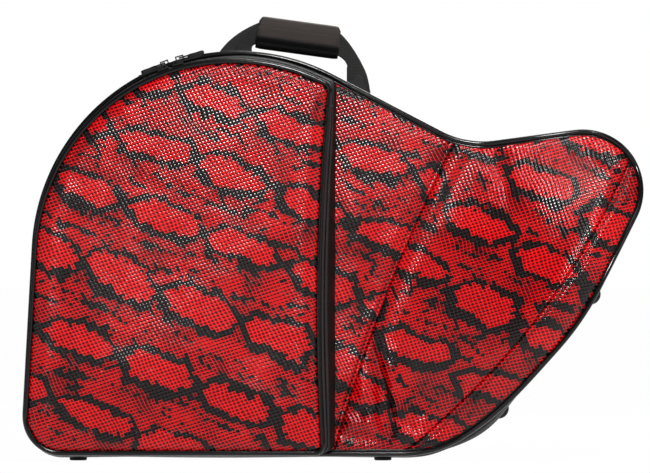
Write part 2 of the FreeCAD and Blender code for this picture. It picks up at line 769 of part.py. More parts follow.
def station_slab(station, length):
    """The slice of space between two planes square to the bell axis."""
    slice_box = Part.makeBox(length, 2 * FAR, 2 * FAR, V(-length / 2, -FAR, -FAR))
    turn = FreeCAD.Rotation(V(0, 1, 0), size("bell_tilt"))
    slice_box.Placement = FreeCAD.Placement(BELL_END - BELL_AXIS * (station + length / 2), turn)
    return slice_box


def make_interior():
    pad_face = size("case_half_depth") - LINING - size("pad_thickness")
    cradle = slab(CASE_PULLEYS, LINING + size("pad_margin"), pad_face - size("cradle_depth"), pad_face)
    cradle = cradle.common(left_part(size("cradle_right_x")))
    coil = V(CROWN.x + size("coil_x"), -FAR, size("case_height") / 2 + size("coil_z"))
    well = Part.makeCylinder(size("coil_radius"), 2 * FAR, coil, V(0, 1, 0))
    way_out = Part.makeBox(FAR, 2 * FAR, 2 * size("throat_radius"), coil - V(0, 0, size("throat_radius")))
    keep("coil_cradle", cradle.cut(well).cut(way_out))

    saddle_face = size("case_half_depth") - LINING
    saddle = Part.makeBox(size("saddle_length"), size("saddle_height"), size("saddle_span"),
                          V(-size("saddle_length") / 2, saddle_face - size("saddle_height"), -size("saddle_span") / 2))
    turn = FreeCAD.Rotation(V(0, 1, 0), size("bell_tilt"))
    saddle.Placement = FreeCAD.Placement(BELL_END - BELL_AXIS * size("saddle_station"), turn)
    throat = Part.makeCylinder(size("throat_radius"), 2 * FAR, BELL_END - BELL_AXIS * FAR, BELL_AXIS)
    keep("throat_saddle", saddle.cut(throat).common(tray_room()))

    bell = Part.makeCylinder(size("bell_radius"), 2 * FAR, BELL_END - BELL_AXIS * FAR, BELL_AXIS)
    web = LINING + size("collar_web")
    collar = tray_room().common(station_slab(size("collar_station"), size("collar_length")))
    keep("bell_collar", collar.cut(bell.common(half_solid(1, web, web, 0))))

    socket = V(HALF_LENGTH - size("mouthpiece_x"), saddle_face - size("mouthpiece_block_height"),
               size("mouthpiece_z"))
    corner = V(size("mouthpiece_block_length") / 2, 0, size("mouthpiece_block_width") / 2)
    block = Part.makeBox(size("mouthpiece_block_length"), size("mouthpiece_block_height"),
                         size("mouthpiece_block_width"), socket - corner)
    uprights = [edge for edge in block.Edges if abs(edge.tangentAt(edge.FirstParameter).y) > 0.5]
    block = block.makeFillet(size("mouthpiece_edge_radius"), uprights)
    bore = Part.makeCylinder(size("mouthpiece_radius"), size("mouthpiece_bore_depth"), socket, V(0, 1, 0))
    keep("mouthpiece_block", block.cut(bore))


for half_name, half_side in (("lid", -1), ("tray", 1)):
    make_half(half_name, half_side)
make_pocket()
make_sliders()
make_handle()
make_feet()
make_bumpers()
make_interior()
doc.recompute()

failed = [item.Name for item in doc.Objects if {"Invalid", "Error"} & set(item.State)]
if failed:
    raise RuntimeError("objects failed: %s" % ", ".join(failed))
for label, feature in made.items():
    if feature.Shape.isNull() or not feature.Shape.isValid():
        raise RuntimeError("bad shape: %s" % label)

os.makedirs("parts", exist_ok=True)
for label, feature in made.items():
    feature.Shape.exportStep("parts/%s.step" % label)
    print(label, len(feature.Shape.Solids), round(feature.Shape.Volume))
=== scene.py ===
import math

import bmesh
import bpy
import numpy as np
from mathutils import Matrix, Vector
from mathutils.geometry import delaunay_2d_cdt

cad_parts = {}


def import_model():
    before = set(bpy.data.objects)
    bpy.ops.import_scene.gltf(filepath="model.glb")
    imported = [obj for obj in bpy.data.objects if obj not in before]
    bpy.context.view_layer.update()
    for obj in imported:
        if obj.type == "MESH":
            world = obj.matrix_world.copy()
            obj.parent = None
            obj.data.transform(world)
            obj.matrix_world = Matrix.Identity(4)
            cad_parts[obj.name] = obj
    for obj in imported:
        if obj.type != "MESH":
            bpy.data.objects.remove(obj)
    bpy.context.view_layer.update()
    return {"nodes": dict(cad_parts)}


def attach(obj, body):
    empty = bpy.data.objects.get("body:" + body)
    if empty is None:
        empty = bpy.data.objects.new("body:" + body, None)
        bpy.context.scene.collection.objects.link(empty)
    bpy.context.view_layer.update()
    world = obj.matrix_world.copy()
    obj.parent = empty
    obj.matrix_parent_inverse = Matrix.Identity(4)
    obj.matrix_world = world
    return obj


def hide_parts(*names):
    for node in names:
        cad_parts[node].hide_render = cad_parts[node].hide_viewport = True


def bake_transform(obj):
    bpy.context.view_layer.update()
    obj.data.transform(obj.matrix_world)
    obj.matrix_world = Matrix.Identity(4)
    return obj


# The looks of a french horn case that stands on its long base, front towards -Y.
# Lengths are in millimetres here and become metres where a mesh is made.

MM = 0.001
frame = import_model()

# Driving dimensions, as in the frame.

FOOT_HEIGHT = 5.0
PARTING_Y = -30.0
HALF_DEPTH = 90.0
BELL_RISE = 75.0
END_FALL = 0.2
CREST_OFFSET = 38.0
FLARE_REACH = 152.0
BELL_SPREAD = 168.0
FLARE_POWER = 1.5
SPREAD_POWER = 1.25
TILT = math.radians(35)
BELL_AXIS = np.array([math.cos(TILT), -math.sin(TILT)])
BELL_SIDE = np.array([math.sin(TILT), math.cos(TILT)])
BELL_END = np.array([254.6, 143.6])
CROWN = np.array([-98.6, 211.0])
CROWN_RADIUS = 213.0
TOE = np.array([-280.0, 46.0])
LINING_INSET = 11.5

CASE_PULLEYS = [
    (TOE, 41.0),
    (CROWN, CROWN_RADIUS),
    (np.array([155.5, 423.6]), -93.0),
    (np.array([259.0, 281.0]), 62.0),
    (BELL_END - BELL_AXIS * 310, 310.0),
    (np.array([72.7, 142.7]), 137.7),
]
THROAT_SEAM = [(126.5, 331.0), (64.4, 194.4), (3.4, 18.5)]
BELL_SEAM = [(305.6, 308.3), (228.0, 173.7), (77.9, 11.2)]
HINGE_LEFT = -292.0
HINGE_RIGHT = 84.7

POCKET_ROOT_Y = -90.0
POCKET_EDGE_Y = -120.0
POCKET_FACE_Y = -125.0
POCKET_CORNER = 10.0
POCKET_TAPE = 14.0
FOLD_TOP = np.array([-189.1, 404.6])
FOLD_LOW = np.array([-8.0, 5.0])

PIPE_RADIUS = 2.7
PIPE_INSET = 2.3
STEP = 3.0


# Outlines in the side view: x and z.

def circle_through(first, second, third):
    """Centre and radius of the circle through three points."""
    (ax, az), (bx, bz), (cx, cz) = first, second, third
    d = 2 * (ax * (bz - cz) + bx * (cz - az) + cx * (az - bz))
    a2, b2, c2 = ax ** 2 + az ** 2, bx ** 2 + bz ** 2, cx ** 2 + cz ** 2
    centre = np.array([(a2 * (bz - cz) + b2 * (cz - az) + c2 * (az - bz)) / d,
                       (a2 * (cx - bx) + b2 * (ax - cx) + c2 * (bx - ax)) / d])
    return centre, math.hypot(*(centre - np.array(first)))


def belt_headings(pulleys, inset):
    headings = []
    for index, (centre, radius) in enumerate(pulleys):
        other, other_radius = pulleys[(index + 1) % len(pulleys)]
        step = other - centre
        headings.append(math.atan2(step[1], step[0])
                        + math.asin(((other_radius - inset) - (radius - inset)) / math.hypot(*step)))
    return headings


def outward_of(headings):
    headings = np.asarray(headings)
    return np.stack([-np.sin(headings), np.cos(headings)], -1)


def belt(pulleys, inset=0.0, spacing=STEP, counts=None):
    """Points and outward directions of a closed belt round pulleys, clockwise from the front."""
    headings = belt_headings(pulleys, inset)
    points, outs, used = [], [], []
    for index, (centre, radius) in enumerate(pulleys):
        radius = radius - inset
        start, end = headings[index - 1], headings[index]
        turn = (end - start + math.pi) % (2 * math.pi) - math.pi
        if radius > 0 and turn > 0:
            turn -= 2 * math.pi
        arc = abs(turn * radius)
        other, other_radius = pulleys[(index + 1) % len(pulleys)]
        leave = centre + radius * outward_of(end)
        land = other + (other_radius - inset) * outward_of(end)
        run = math.hypot(*(land - leave))
        if counts is None:
            n_arc, n_run = max(2, round(arc / spacing)), max(1, round(run / spacing))
        else:
            n_arc, n_run = counts[index]
        used.append((n_arc, n_run))
        h = start + turn * np.arange(n_arc) / n_arc
        points.append(centre + radius * outward_of(h))
        outs.append(outward_of(h))
        share = np.arange(n_run)[:, None] / n_run
        points.append(leave + (land - leave) * share)
        outs.append(np.repeat(outward_of(end)[None], n_run, 0))
    return np.concatenate(points), np.concatenate(outs), used


def distances(line):
    """How far along a line each of its points lies."""
    return np.concatenate([[0], np.cumsum(np.linalg.norm(np.diff(line, axis=0), axis=1))])


def at_distances(line, lengths, at):
    return np.stack([np.interp(at, lengths, column) for column in np.asarray(line).T], -1)


def resampled(points, outs, spacing):
    """A closed line and its directions at even spacing, and how far along it each point lies."""
    closed = np.concatenate([points, points[:1]])
    lengths = distances(closed)
    count = round(lengths[-1] / spacing)
    at = np.arange(count) * lengths[-1] / count
    ways = at_distances(np.concatenate([outs, outs[:1]]), lengths, at)
    return at_distances(closed, lengths, at), ways / np.linalg.norm(ways, axis=1, keepdims=True), at


def even_belt(pulleys, inset, spacing, first_spacing=None):
    points, outs, _ = belt(pulleys, inset, first_spacing or spacing)
    return resampled(points, outs, spacing)


def half_depth(points):
    """Half depth of the case over places of the side view."""
    rel = np.asarray(points) - BELL_END
    station = -(rel @ BELL_AXIS)
    lateral = rel @ BELL_SIDE
    near = np.clip(1 - END_FALL * ((CREST_OFFSET - station) / CREST_OFFSET) ** 2, 0, None)
    far = np.clip((FLARE_REACH - (station - CREST_OFFSET)) / FLARE_REACH, 0, None) ** FLARE_POWER
    along = np.where(station < CREST_OFFSET, near, far)
    across = np.clip(1 - (lateral / BELL_SPREAD) ** 2, 0, None) ** SPREAD_POWER
    return HALF_DEPTH + BELL_RISE * along * across


def smooth_step(value, low, high):
    t = np.clip((value - low) / (high - low), 0, 1)
    return t * t * (3 - 2 * t)


def bump(value, centre, width):
    return np.exp(-((value - centre) / width) ** 2)


# Meshes.

def to_space(points, y):
    """Side view places at depth y, as x, y, z."""
    points = np.asarray(points)
    return np.stack([points[..., 0], np.broadcast_to(y, points[..., 0].shape), points[..., 1]], -1)


def add_object(label, data):
    piece = bpy.data.objects.new(label, data)
    bpy.context.scene.collection.objects.link(piece)
    return piece


def make_mesh(label, vertices, faces, uv=None):
    mesh = bpy.data.meshes.new(label)
    mesh.from_pydata((np.asarray(vertices) * MM).tolist(), [], faces)
    mesh.validate()
    if uv is not None:
        layer = mesh.uv_layers.new(name="scales")
        corner = np.zeros(len(mesh.loops), np.int32)
        mesh.loops.foreach_get("vertex_index", corner)
        layer.uv.foreach_set("vector", np.asarray(uv, np.float32)[corner].ravel())
    mesh.polygons.foreach_set("use_smooth", [True] * len(mesh.polygons))
    mesh.update()
    return add_object(label, mesh)


def outward_normals(piece):
    bm = bmesh.new()
    bm.from_mesh(piece.data)
    bmesh.ops.recalc_face_normals(bm, faces=bm.faces)
    bm.to_mesh(piece.data)
    bm.free()
    return piece


def grid_faces(rows, columns, close_rows=False, close_columns=False):
    faces = []
    for i in range(rows if close_rows else rows - 1):
        for j in range(columns if close_columns else columns - 1):
            a, b = i, (i + 1) % rows
            c, d = j, (j + 1) % columns
            faces.append((a * columns + c, a * columns + d, b * columns + d, b * columns + c))
    return faces


def grid_piece(label, grid, close_rows=False, close_columns=False, caps=False):
    """A surface through a grid of points, grid[row][column]."""
    rows, columns = grid.shape[:2]
    faces = grid_faces(rows, columns, close_rows, close_columns)
    if caps:
        faces.append(tuple(range(columns))[::-1])
        faces.append(tuple(range((rows - 1) * columns, rows * columns)))
    return outward_normals(make_mesh(label, grid.reshape(-1, 3), faces))


def sweep(points, outs, section):
    """Grid of points: a section of (outward, sideways) offsets carried round a closed line."""
    tangent = np.roll(points, -1, 0) - np.roll(points, 1, 0)
    tangent /= np.linalg.norm(tangent, axis=1, keepdims=True)
    first = outs - np.sum(outs * tangent, 1, keepdims=True) * tangent
    first /= np.linalg.norm(first, axis=1, keepdims=True)
    second = np.cross(tangent, first)
    return points[:, None] + section[:, 0:1] * first[:, None] + section[:, 1:2] * second[:, None]


def round_section(radius, sides=12):
    angles = np.arange(sides) * 2 * math.pi / sides
    return radius * np.stack([np.cos(angles), np.sin(angles)], -1)


def dress(piece, body, material, *nodes, slot=None):
    """Gives a piece its material, its body and the nodes that it stands for."""
    piece.data.materials.clear()
    piece.data.materials.append(material)
    if body is not None:
        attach(piece, body)
    if nodes:
        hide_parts(*nodes)
    return piece


# Materials.

class Value:
    """A shader value that takes part in sums, so that a material reads as a formula."""

    def __init__(self, nodes, socket):
        self.nodes = nodes
        self.socket = socket

    def __add__(self, other):
        return self.nodes.math("ADD", self, other)

    def __sub__(self, other):
        return self.nodes.math("SUBTRACT", self, other)

    def __rsub__(self, other):
        return self.nodes.math("SUBTRACT", other, self)

    def __mul__(self, other):
        return self.nodes.math("MULTIPLY", self, other)

    def __truediv__(self, other):
        return self.nodes.math("DIVIDE", self, other)

    def __abs__(self):
        return self.nodes.math("ABSOLUTE", self)


class Nodes:
    """Short ways to add shader nodes to one material."""

    def __init__(self, label):
        self.material = bpy.data.materials.new(label)
        self.material.use_nodes = True
        self.tree = self.material.node_tree
        self.tree.nodes.clear()
        self.output = self.tree.nodes.new("ShaderNodeOutputMaterial")
        self.shader = self.tree.nodes.new("ShaderNodeBsdfPrincipled")
        self.tree.links.new(self.shader.outputs[0], self.output.inputs[0])

    def put(self, socket, value):
        if isinstance(value, Value):
            value = value.socket
        if isinstance(value, bpy.types.NodeSocket):
            self.tree.links.new(value, socket)
        else:
            socket.default_value = value

    def add(self, kind, inputs=(), **settings):
        """A new node, with its inputs given in order or by name."""
        node = self.tree.nodes.new(kind)
        for key, value in settings.items():
            setattr(node, key, value)
        named = inputs.items() if isinstance(inputs, dict) else enumerate(inputs)
        for key, value in named:
            self.put(node.inputs[key], value)
        return node

    def value(self, kind, inputs=(), output=0, **settings):
        return Value(self, self.add(kind, inputs, **settings).outputs[output])

    def math(self, operation, *values):
        return self.value("ShaderNodeMath", values, operation=operation)

    def ramp(self, value, low, high, start=0.0, end=1.0):
        """A value that goes smoothly from start to end while another goes from low to high."""
        inputs = (value, low, high, start, end)
        return self.value("ShaderNodeMapRange", inputs, interpolation_type="SMOOTHSTEP")

    def mix(self, share, first, second):
        """Between two colours, each a value or an eight-bit sRGB colour."""
        first, second = [linear(*item) if isinstance(item, tuple) else item for item in (first, second)]
        return self.value("ShaderNodeMix", {0: share, 6: first, 7: second}, 2, data_type="RGBA")

    def noise(self, vector, scale, detail=2.0, roughness=0.5):
        inputs = {"Vector": vector, "Scale": scale, "Detail": detail, "Roughness": roughness}
        return self.value("ShaderNodeTexNoise", inputs, "Fac", noise_dimensions="3D")

    def combine(self, x, y, z=0.0):
        return self.value("ShaderNodeCombineXYZ", (x, y, z))

    def separate(self, vector):
        return [Value(self, part) for part in self.add("ShaderNodeSeparateXYZ", (vector,)).outputs]

    def bump(self, height, strength, distance):
        return self.value("ShaderNodeBump", {"Strength": strength, "Distance": distance, "Height": height})

    def place(self):
        return self.value("ShaderNodeTexCoord", (), "Object")

    def finish(self, color, roughness, normal, **plain):
        shader = {"Base Color": color, "Roughness": roughness, "Normal": normal}
        shader.update((key.replace("_", " "), value) for key, value in plain.items())
        for key, value in shader.items():
            self.put(self.shader.inputs[key], value)
        return self.material


def linear(red, green, blue):
    """A colour given as eight-bit sRGB, as linear RGBA."""
    channels = [c / 255 for c in (red, green, blue)]
    return tuple(c / 12.92 if c <= 0.04045 else ((c + 0.055) / 1.055) ** 2.4 for c in channels) + (1.0,)


# The print: scales on a skewed lattice, with saddles on a coarser lattice of the same cells.
# Each panel is cut from another place of the cloth, so it has its own lattice.

PRINTS = {
    "body": {"row_angle": 17.4, "column_angle": -62.7, "row_pitch": 3.73, "column_pitch": 3.58,
             "saddle_at": (-184.0, 326.0), "next_saddle": (15.65, 15.2), "next_row": (-20.3, 9.9),
             "sway": (-1.6, -3.3)},
    "flare": {"row_angle": 16.0, "column_angle": -71.0, "row_pitch": 3.84, "column_pitch": 3.31,
              "saddle_at": (214.5, 289.0), "next_saddle": (14.1, 19.4), "next_row": (-19.7, 6.9),
              "sway": (1.0, 0.8)},
    "rim": {"row_angle": 12.0, "column_angle": -70.0, "row_pitch": 3.75, "column_pitch": 3.4,
            "saddle_at": (169.0, 79.5), "next_saddle": (15.0, 17.0), "next_row": (-20.0, 8.0),
            "sway": (0.5, 1.0)},
}
SADDLE_HALF = 6.7
SADDLE_ACROSS = 5.3
SADDLE_ROUNDING = 1.2
SADDLE_SIZE_RANGE = 1.6
ROW_SWAY_PERIOD = 4.1
DRIFT = 7.0
DRIFT_SCALE = 0.05
RAGGED = 3.4
BAND_WIDTH = 2.35
LEAST_BAND = 1.1
STREAK_LIMIT = 0.605
STEEP_LIMIT = 0.66
DOT_RADIUS = 0.27
DASH_WIDTH = 0.26


def scale_cells(points, panel):
    """Cell numbers (i, j) of side view places, counted from one saddle's middle."""
    cut = PRINTS[panel]
    rows, columns = math.radians(cut["row_angle"]), math.radians(cut["column_angle"])
    basis = np.array([[cut["row_pitch"] * math.cos(rows), cut["column_pitch"] * math.cos(columns)],
                      [cut["row_pitch"] * math.sin(rows), cut["column_pitch"] * math.sin(columns)]])
    return (np.asarray(points) - np.array(cut["saddle_at"])) @ np.linalg.inv(basis).T


def saddle_reach(n, panel, cell_i, cell_j):
    """How many cells a place lies outside the nearest saddle, and on which side of it."""
    cut = PRINTS[panel]
    basis = np.stack([cut["next_saddle"], cut["next_row"]], 1)
    inverse = np.linalg.inv(basis)
    row = cell_i * inverse[1, 0] + cell_j * inverse[1, 1]
    sway = n.math("SINE", row * (2 * math.pi / ROW_SWAY_PERIOD))
    drift_i = n.noise(n.combine(cell_i, cell_j), DRIFT_SCALE, 1.0) - 0.5
    drift_j = n.noise(n.combine(cell_j, cell_i, 11.0), DRIFT_SCALE, 1.0) - 0.5
    wi = drift_i * DRIFT + cell_i - sway * cut["sway"][0]
    wj = drift_j * DRIFT + cell_j - sway * cut["sway"][1]
    s = wi * inverse[0, 0] + wj * inverse[0, 1]
    t = wi * inverse[1, 0] + wj * inverse[1, 1]
    ds, dt = s - n.math("ROUND", s), t - n.math("ROUND", t)
    di = ds * basis[0, 0] + dt * basis[0, 1]
    dj = ds * basis[1, 0] + dt * basis[1, 1]
    size = (n.noise(n.combine(s, t, 3.0), 0.7, 1.0) - 0.5) * SADDLE_SIZE_RANGE
    skew = di - dj
    past_skew = (abs(skew) - SADDLE_ACROSS) * 0.65
    past_cell = n.math("SMOOTH_MAX", abs(di) - SADDLE_HALF, abs(dj) - SADDLE_HALF, SADDLE_ROUNDING)
    return n.math("SMOOTH_MAX", past_cell, past_skew, SADDLE_ROUNDING) + size, skew / SADDLE_ACROSS


def print_mask(n, panel, cell_i, cell_j, cell, chance, salt):
    """Whether a scale is in a saddle, and whether it is black, each the same all over one scale."""
    reach, side = saddle_reach(n, panel, cell_i, cell_j)
    reach = reach + (n.noise(cell, 0.22, 2.0, 0.6) - 0.5) * RAGGED
    reach = chance - 0.5 + reach
    saddle = n.math("LESS_THAN", reach, 0.0)
    along, across = (cell_i + cell_j) * 0.5, (cell_i - cell_j) * 0.5
    streaks = n.noise(n.combine(along * 0.13, across * 0.36), 1.0, 2.0, 0.62)
    steep = n.noise(n.combine(cell_i * 0.42, cell_j * 0.12, 5.0), 1.0, 2.0, 0.6)
    width = (steep - 0.5) * 3.6 + BAND_WIDTH - side * 0.25
    in_band = n.math("LESS_THAN", reach, n.math("MAXIMUM", width, LEAST_BAND))
    streaks = streaks + n.ramp(reach, 2.6, 6.0, -0.06, 0.05) + salt
    speckle = n.math("MAXIMUM", n.math("GREATER_THAN", streaks, STREAK_LIMIT),
                     n.math("GREATER_THAN", steep + salt, STEEP_LIMIT))
    return saddle, (1.0 - saddle) * n.math("MAXIMUM", in_band, speckle)


def snake_material(panel):
    """The print, with a raised net of scale edges between sunken marks."""
    n = Nodes("snake_vinyl_" + panel)
    uv = n.value("ShaderNodeUVMap", uv_map="scales")
    i, j, _ = n.separate(uv)
    i = i + (n.noise(uv, 0.1, 1.0) - 0.5) * 2.2
    cell_i, cell_j = n.math("ROUND", i), n.math("ROUND", j)
    cell = n.combine(cell_i, cell_j)
    part_i, part_j = i - cell_i, j - cell_j
    abs_i, abs_j = abs(part_i), abs(part_j)
    chance = n.value("ShaderNodeTexWhiteNoise", {"Vector": cell}, noise_dimensions="2D")
    salt = (chance - 0.5) * 0.09
    saddle, dark = print_mask(n, panel, cell_i, cell_j, cell, chance, salt)
    from_middle = n.math("SQRT", part_i * part_i + part_j * part_j)
    size = chance * 0.08 + DOT_RADIUS
    dot = n.ramp(from_middle, size, size + 0.14, 1.0, 0.0)
    dash = (n.noise(cell, 0.12, 1.0) - 0.5 + salt) * 0.7 + DASH_WIDTH
    stroke = n.ramp(abs_j, dash, dash + 0.12, 1.0, 0.0) * n.ramp(abs_i, 0.32, 0.46, 1.0, 0.0)
    tone = n.noise(uv, 0.06, 2.0)
    saddle_color = n.mix(dot * 0.9, n.mix(tone, (190, 9, 14), (216, 16, 20)), (32, 2, 5))
    field_color = n.mix(stroke * 0.95, n.mix(tone, (166, 8, 13), (204, 14, 18)), (18, 3, 5))
    lattice = n.math("MAXIMUM", n.ramp(abs_i, 0.3, 0.46), n.ramp(abs_j, 0.3, 0.46))
    dark_color = n.mix(lattice * 0.8, (4, 3, 3), (40, 28, 28))
    color = n.mix(dark, n.mix(saddle, field_color, saddle_color), dark_color)
    turn = 2 * math.pi
    relief = (n.math("COSINE", part_i * turn) + n.math("COSINE", part_j * turn)) * -0.5
    grain = n.noise(uv, 3.5, 3.0, 0.6)
    bump = n.bump(grain * 0.3 + relief, 0.8, 0.0003)
    return n.finish(color, grain * 0.1 + 0.1, bump, Specular_IOR_Level=0.27)


def grained_material(label, color, lighter, scale, depth, roughness):
    n = Nodes(label)
    place = n.place()
    edges = n.value("ShaderNodeTexVoronoi", {"Vector": place, "Scale": scale}, "Distance",
                    feature="DISTANCE_TO_EDGE")
    fine = n.noise(place, scale * 1.8, 3.0, 0.6)
    shade = n.mix((fine + n.noise(place, 25.0, 2.0)) * 0.5, color, lighter)
    height = n.ramp(edges, 0.0, 0.25) + fine * 0.5
    return n.finish(shade, fine * 0.15 + roughness, n.bump(height, 0.7, depth), Specular_IOR_Level=0.15)


def gloss_material(label, color, lighter, roughness):
    n = Nodes(label)
    waves = n.noise(n.place(), 25.0, 2.0, 0.5)
    bump = n.bump(waves, 0.02, 0.0004)
    return n.finish(n.mix(waves, color, lighter), waves * 0.1 + roughness, bump, Specular_IOR_Level=0.3)


def woven_material(label, color, lighter, pitch, depth):
    """Over and under threads, from the cloth's place in space."""
    n = Nodes(label)
    x, y, z = n.separate(n.place())
    turn = math.pi / pitch
    threads = abs(n.math("SINE", (x + y * 0.37) * turn) * n.math("SINE", (z + y * 0.81) * turn))
    fuzz = n.noise(n.place(), 1500.0, 2.0)
    shade = n.mix((threads + fuzz) * 0.5, color, lighter)
    return n.finish(shade, fuzz * 0.2 + 0.7, n.bump(threads + fuzz * 0.4, 0.8, depth))


def plush_material(label, color, lighter):
    n = Nodes(label)
    pile = n.noise(n.place(), 1400.0, 3.0, 0.7) + n.noise(n.place(), 35.0, 3.0, 0.6)
    return n.finish(n.mix(pile * 0.5, color, lighter), 0.95, n.bump(pile, 0.8, 0.0012), Sheen_Weight=0.35)


def metal_material(label, color, lighter, metallic):
    n = Nodes(label)
    worn = n.noise(n.place(), 260.0, 4.0, 0.65)
    shade = n.mix(n.ramp(worn, 0.55, 0.85), color, lighter)
    return n.finish(shade, worn * 0.25 + 0.28, n.bump(worn, 0.15, 0.0003), Metallic=metallic)


SNAKE = {panel: snake_material(panel) for panel in PRINTS}
PIPING = gloss_material("piping_vinyl", (4, 4, 4), (10, 10, 10), 0.08)
BLACK = grained_material("black_vinyl", (9, 9, 9), (22, 21, 21), 700.0, 0.00014, 0.42)
TAPE = woven_material("zip_tape_weave", (14, 14, 15), (42, 41, 42), 0.0012, 0.0003)
COIL = gloss_material("zip_coil_plastic", (14, 14, 16), (34, 34, 36), 0.3)
METAL = metal_material("slider_enamel", (14, 14, 16), (50, 50, 54), 0.6)
WEBBING_CLOTH = woven_material("webbing_weave", (6, 6, 6), (28, 26, 25), 0.0016, 0.0005)
GRIP = grained_material("grip_fabric", (40, 35, 34), (68, 61, 59), 1400.0, 0.0003, 0.7)
GRIP_DARK = grained_material("grip_lining", (5, 5, 5), (15, 14, 14), 1200.0, 0.0002, 0.38)
THREAD = woven_material("thread", (30, 28, 28), (70, 66, 66), 0.0006, 0.0002)
DARK_THREAD = woven_material("dark_thread", (8, 8, 8), (20, 19, 19), 0.0006, 0.0002)
GRIP_EDGE = woven_material("grip_binding", (84, 82, 76), (128, 124, 116), 0.001, 0.0003)
PLUSH = plush_material("plush", (28, 28, 32), (58, 58, 64))
FOAM = plush_material("padded_plush", (34, 34, 38), (66, 66, 72))
RUBBER = grained_material("foot_rubber", (22, 22, 22), (40, 40, 40), 600.0, 0.0002, 0.55)
BOARD = grained_material("shell_board", (88, 74, 58), (112, 95, 74), 300.0, 0.0003, 0.7)

# The case's outer covers.

THROAT_CENTRE, THROAT_RADIUS = circle_through(*THROAT_SEAM)
BELL_CENTRE, BELL_RADIUS = circle_through(*BELL_SEAM)
SEAMS = [(THROAT_CENTRE, THROAT_RADIUS), (BELL_CENTRE, BELL_RADIUS)]


# Where the case bulges low on its bell end, how far that reaches and how far the edge draws in there.

LOW_BELL = (158.0, 33.0)
LOW_BELL_REACH = (46.0, 34.0)
LOW_BELL_PULL = 3.6
ROLL_REACH = 13.0
ROLL_DROP = 4.2


def low_bell(points):
    """1 at the low side of the bell end, and 0 well away from it."""
    shares = [bump(points[:, k], LOW_BELL[k], LOW_BELL_REACH[k]) for k in range(2)]
    return shares[0] * shares[1]


def edge_pull(points):
    """How far the piping and cover draw in from the outline, low on the bell end."""
    return LOW_BELL_PULL * low_bell(points)


def seam_distance(points, centre, radius):
    """Signed distance from a seam, positive towards the bell."""
    return radius - np.linalg.norm(np.asarray(points) - centre, axis=1)


def face_shape(points, border):
    """Height of the cover over the nominal face, with its seams and rolled edges."""
    x, z = points[:, 0], points[:, 1]
    height = 0.9 * np.sin(x / 47 + 1.3) * np.sin(z / 39 + 0.4) + 0.5 * np.sin(x / 19 + z / 31)
    roll = np.clip(1 - border / ROLL_REACH, 0, 1) ** 2
    height = height * (1 - roll) - ROLL_DROP * roll
    for centre, radius in SEAMS:
        q = seam_distance(points, centre, radius)
        strip = smooth_step(q, -4.7, -3.9) * (1 - smooth_step(q, -1.1, 0.0))
        height += 1.1 * strip - 1.5 * bump(q, 0.25, 0.9) - 1.5 * bump(q, -4.9, 0.7)
        height += 1.2 * bump(q, 9.0, 7.0) - 1.3 * bump(q, 0.0, 9.0)
    return height


CREASES = [
    # start, end, width, depth
    ((41.0, 118.0), (54.0, 66.0), 5.0, -8.0),
    ((53.0, 80.0), (57.0, 12.0), 6.0, -13.0),
    ((28.0, 102.0), (42.0, 30.0), 9.0, 7.0),
    ((56.0, 112.0), (71.0, 26.0), 9.0, 7.0),
    ((57.0, 52.0), (92.0, 22.0), 5.0, -5.0),
    ((10.0, 44.0), (46.0, 34.0), 6.0, 4.0),
    ((8.0, 28.0), (54.0, 19.0), 5.0, -6.0),
    ((70.0, 40.0), (104.0, 12.0), 7.0, 4.6),
    ((34.0, 62.0), (52.0, 44.0), 4.5, -5.0),
    ((84.0, 96.0), (98.0, 52.0), 8.0, -2.6),
    ((274.0, 316.0), (303.0, 296.0), 4.5, -2.4),
    ((284.0, 328.0), (312.0, 300.0), 4.5, 1.8),
    ((262.0, 330.0), (296.0, 318.0), 4.0, -1.6),
    ((150.0, 330.0), (175.0, 300.0), 10.0, -1.6),
    ((168.0, 322.0), (182.0, 268.0), 6.0, -2.0),
    ((120.0, 300.0), (90.0, 240.0), 12.0, 1.6),
    ((20.0, 300.0), (30.0, 200.0), 14.0, 1.5),
    ((46.0, 230.0), (36.0, 140.0), 13.0, -1.6),
]


def crease_shape(points):
    points = np.asarray(points)
    total = np.zeros(len(points))
    for start, end, width, depth in CREASES:
        start, end = np.array(start), np.array(end)
        along = end - start
        t = np.clip((points - start) @ along / (along @ along), 0, 1)
        wander = 0.25 * width * np.sin(t * 7)
        side = np.array([along[1], -along[0]]) / np.linalg.norm(along)
        gap = np.linalg.norm(points - (start + t[:, None] * along) - wander[:, None] * side, axis=1)
        fade = np.sin(np.clip(t, 0.06, 0.94) * math.pi) ** 0.6
        total += depth * fade * np.exp(-(gap / width) ** 2)
    return total


def seam_arc(centre, radius, first, last):
    """Points of a seam between two places, along its shorter arc."""
    start = math.atan2(*(first - centre)[::-1])
    turn = (math.atan2(*(last - centre)[::-1]) - start + math.pi) % (2 * math.pi) - math.pi
    count = max(2, round(abs(turn) * radius / 2.2))
    angles = start + turn * np.arange(1, count) / count
    return centre + radius * np.stack([np.cos(angles), np.sin(angles)], -1)


def cover_outline():
    points, outs, _ = belt(CASE_PULLEYS, PIPE_INSET + 0.6, STEP)
    return points - outs * edge_pull(points)[:, None]


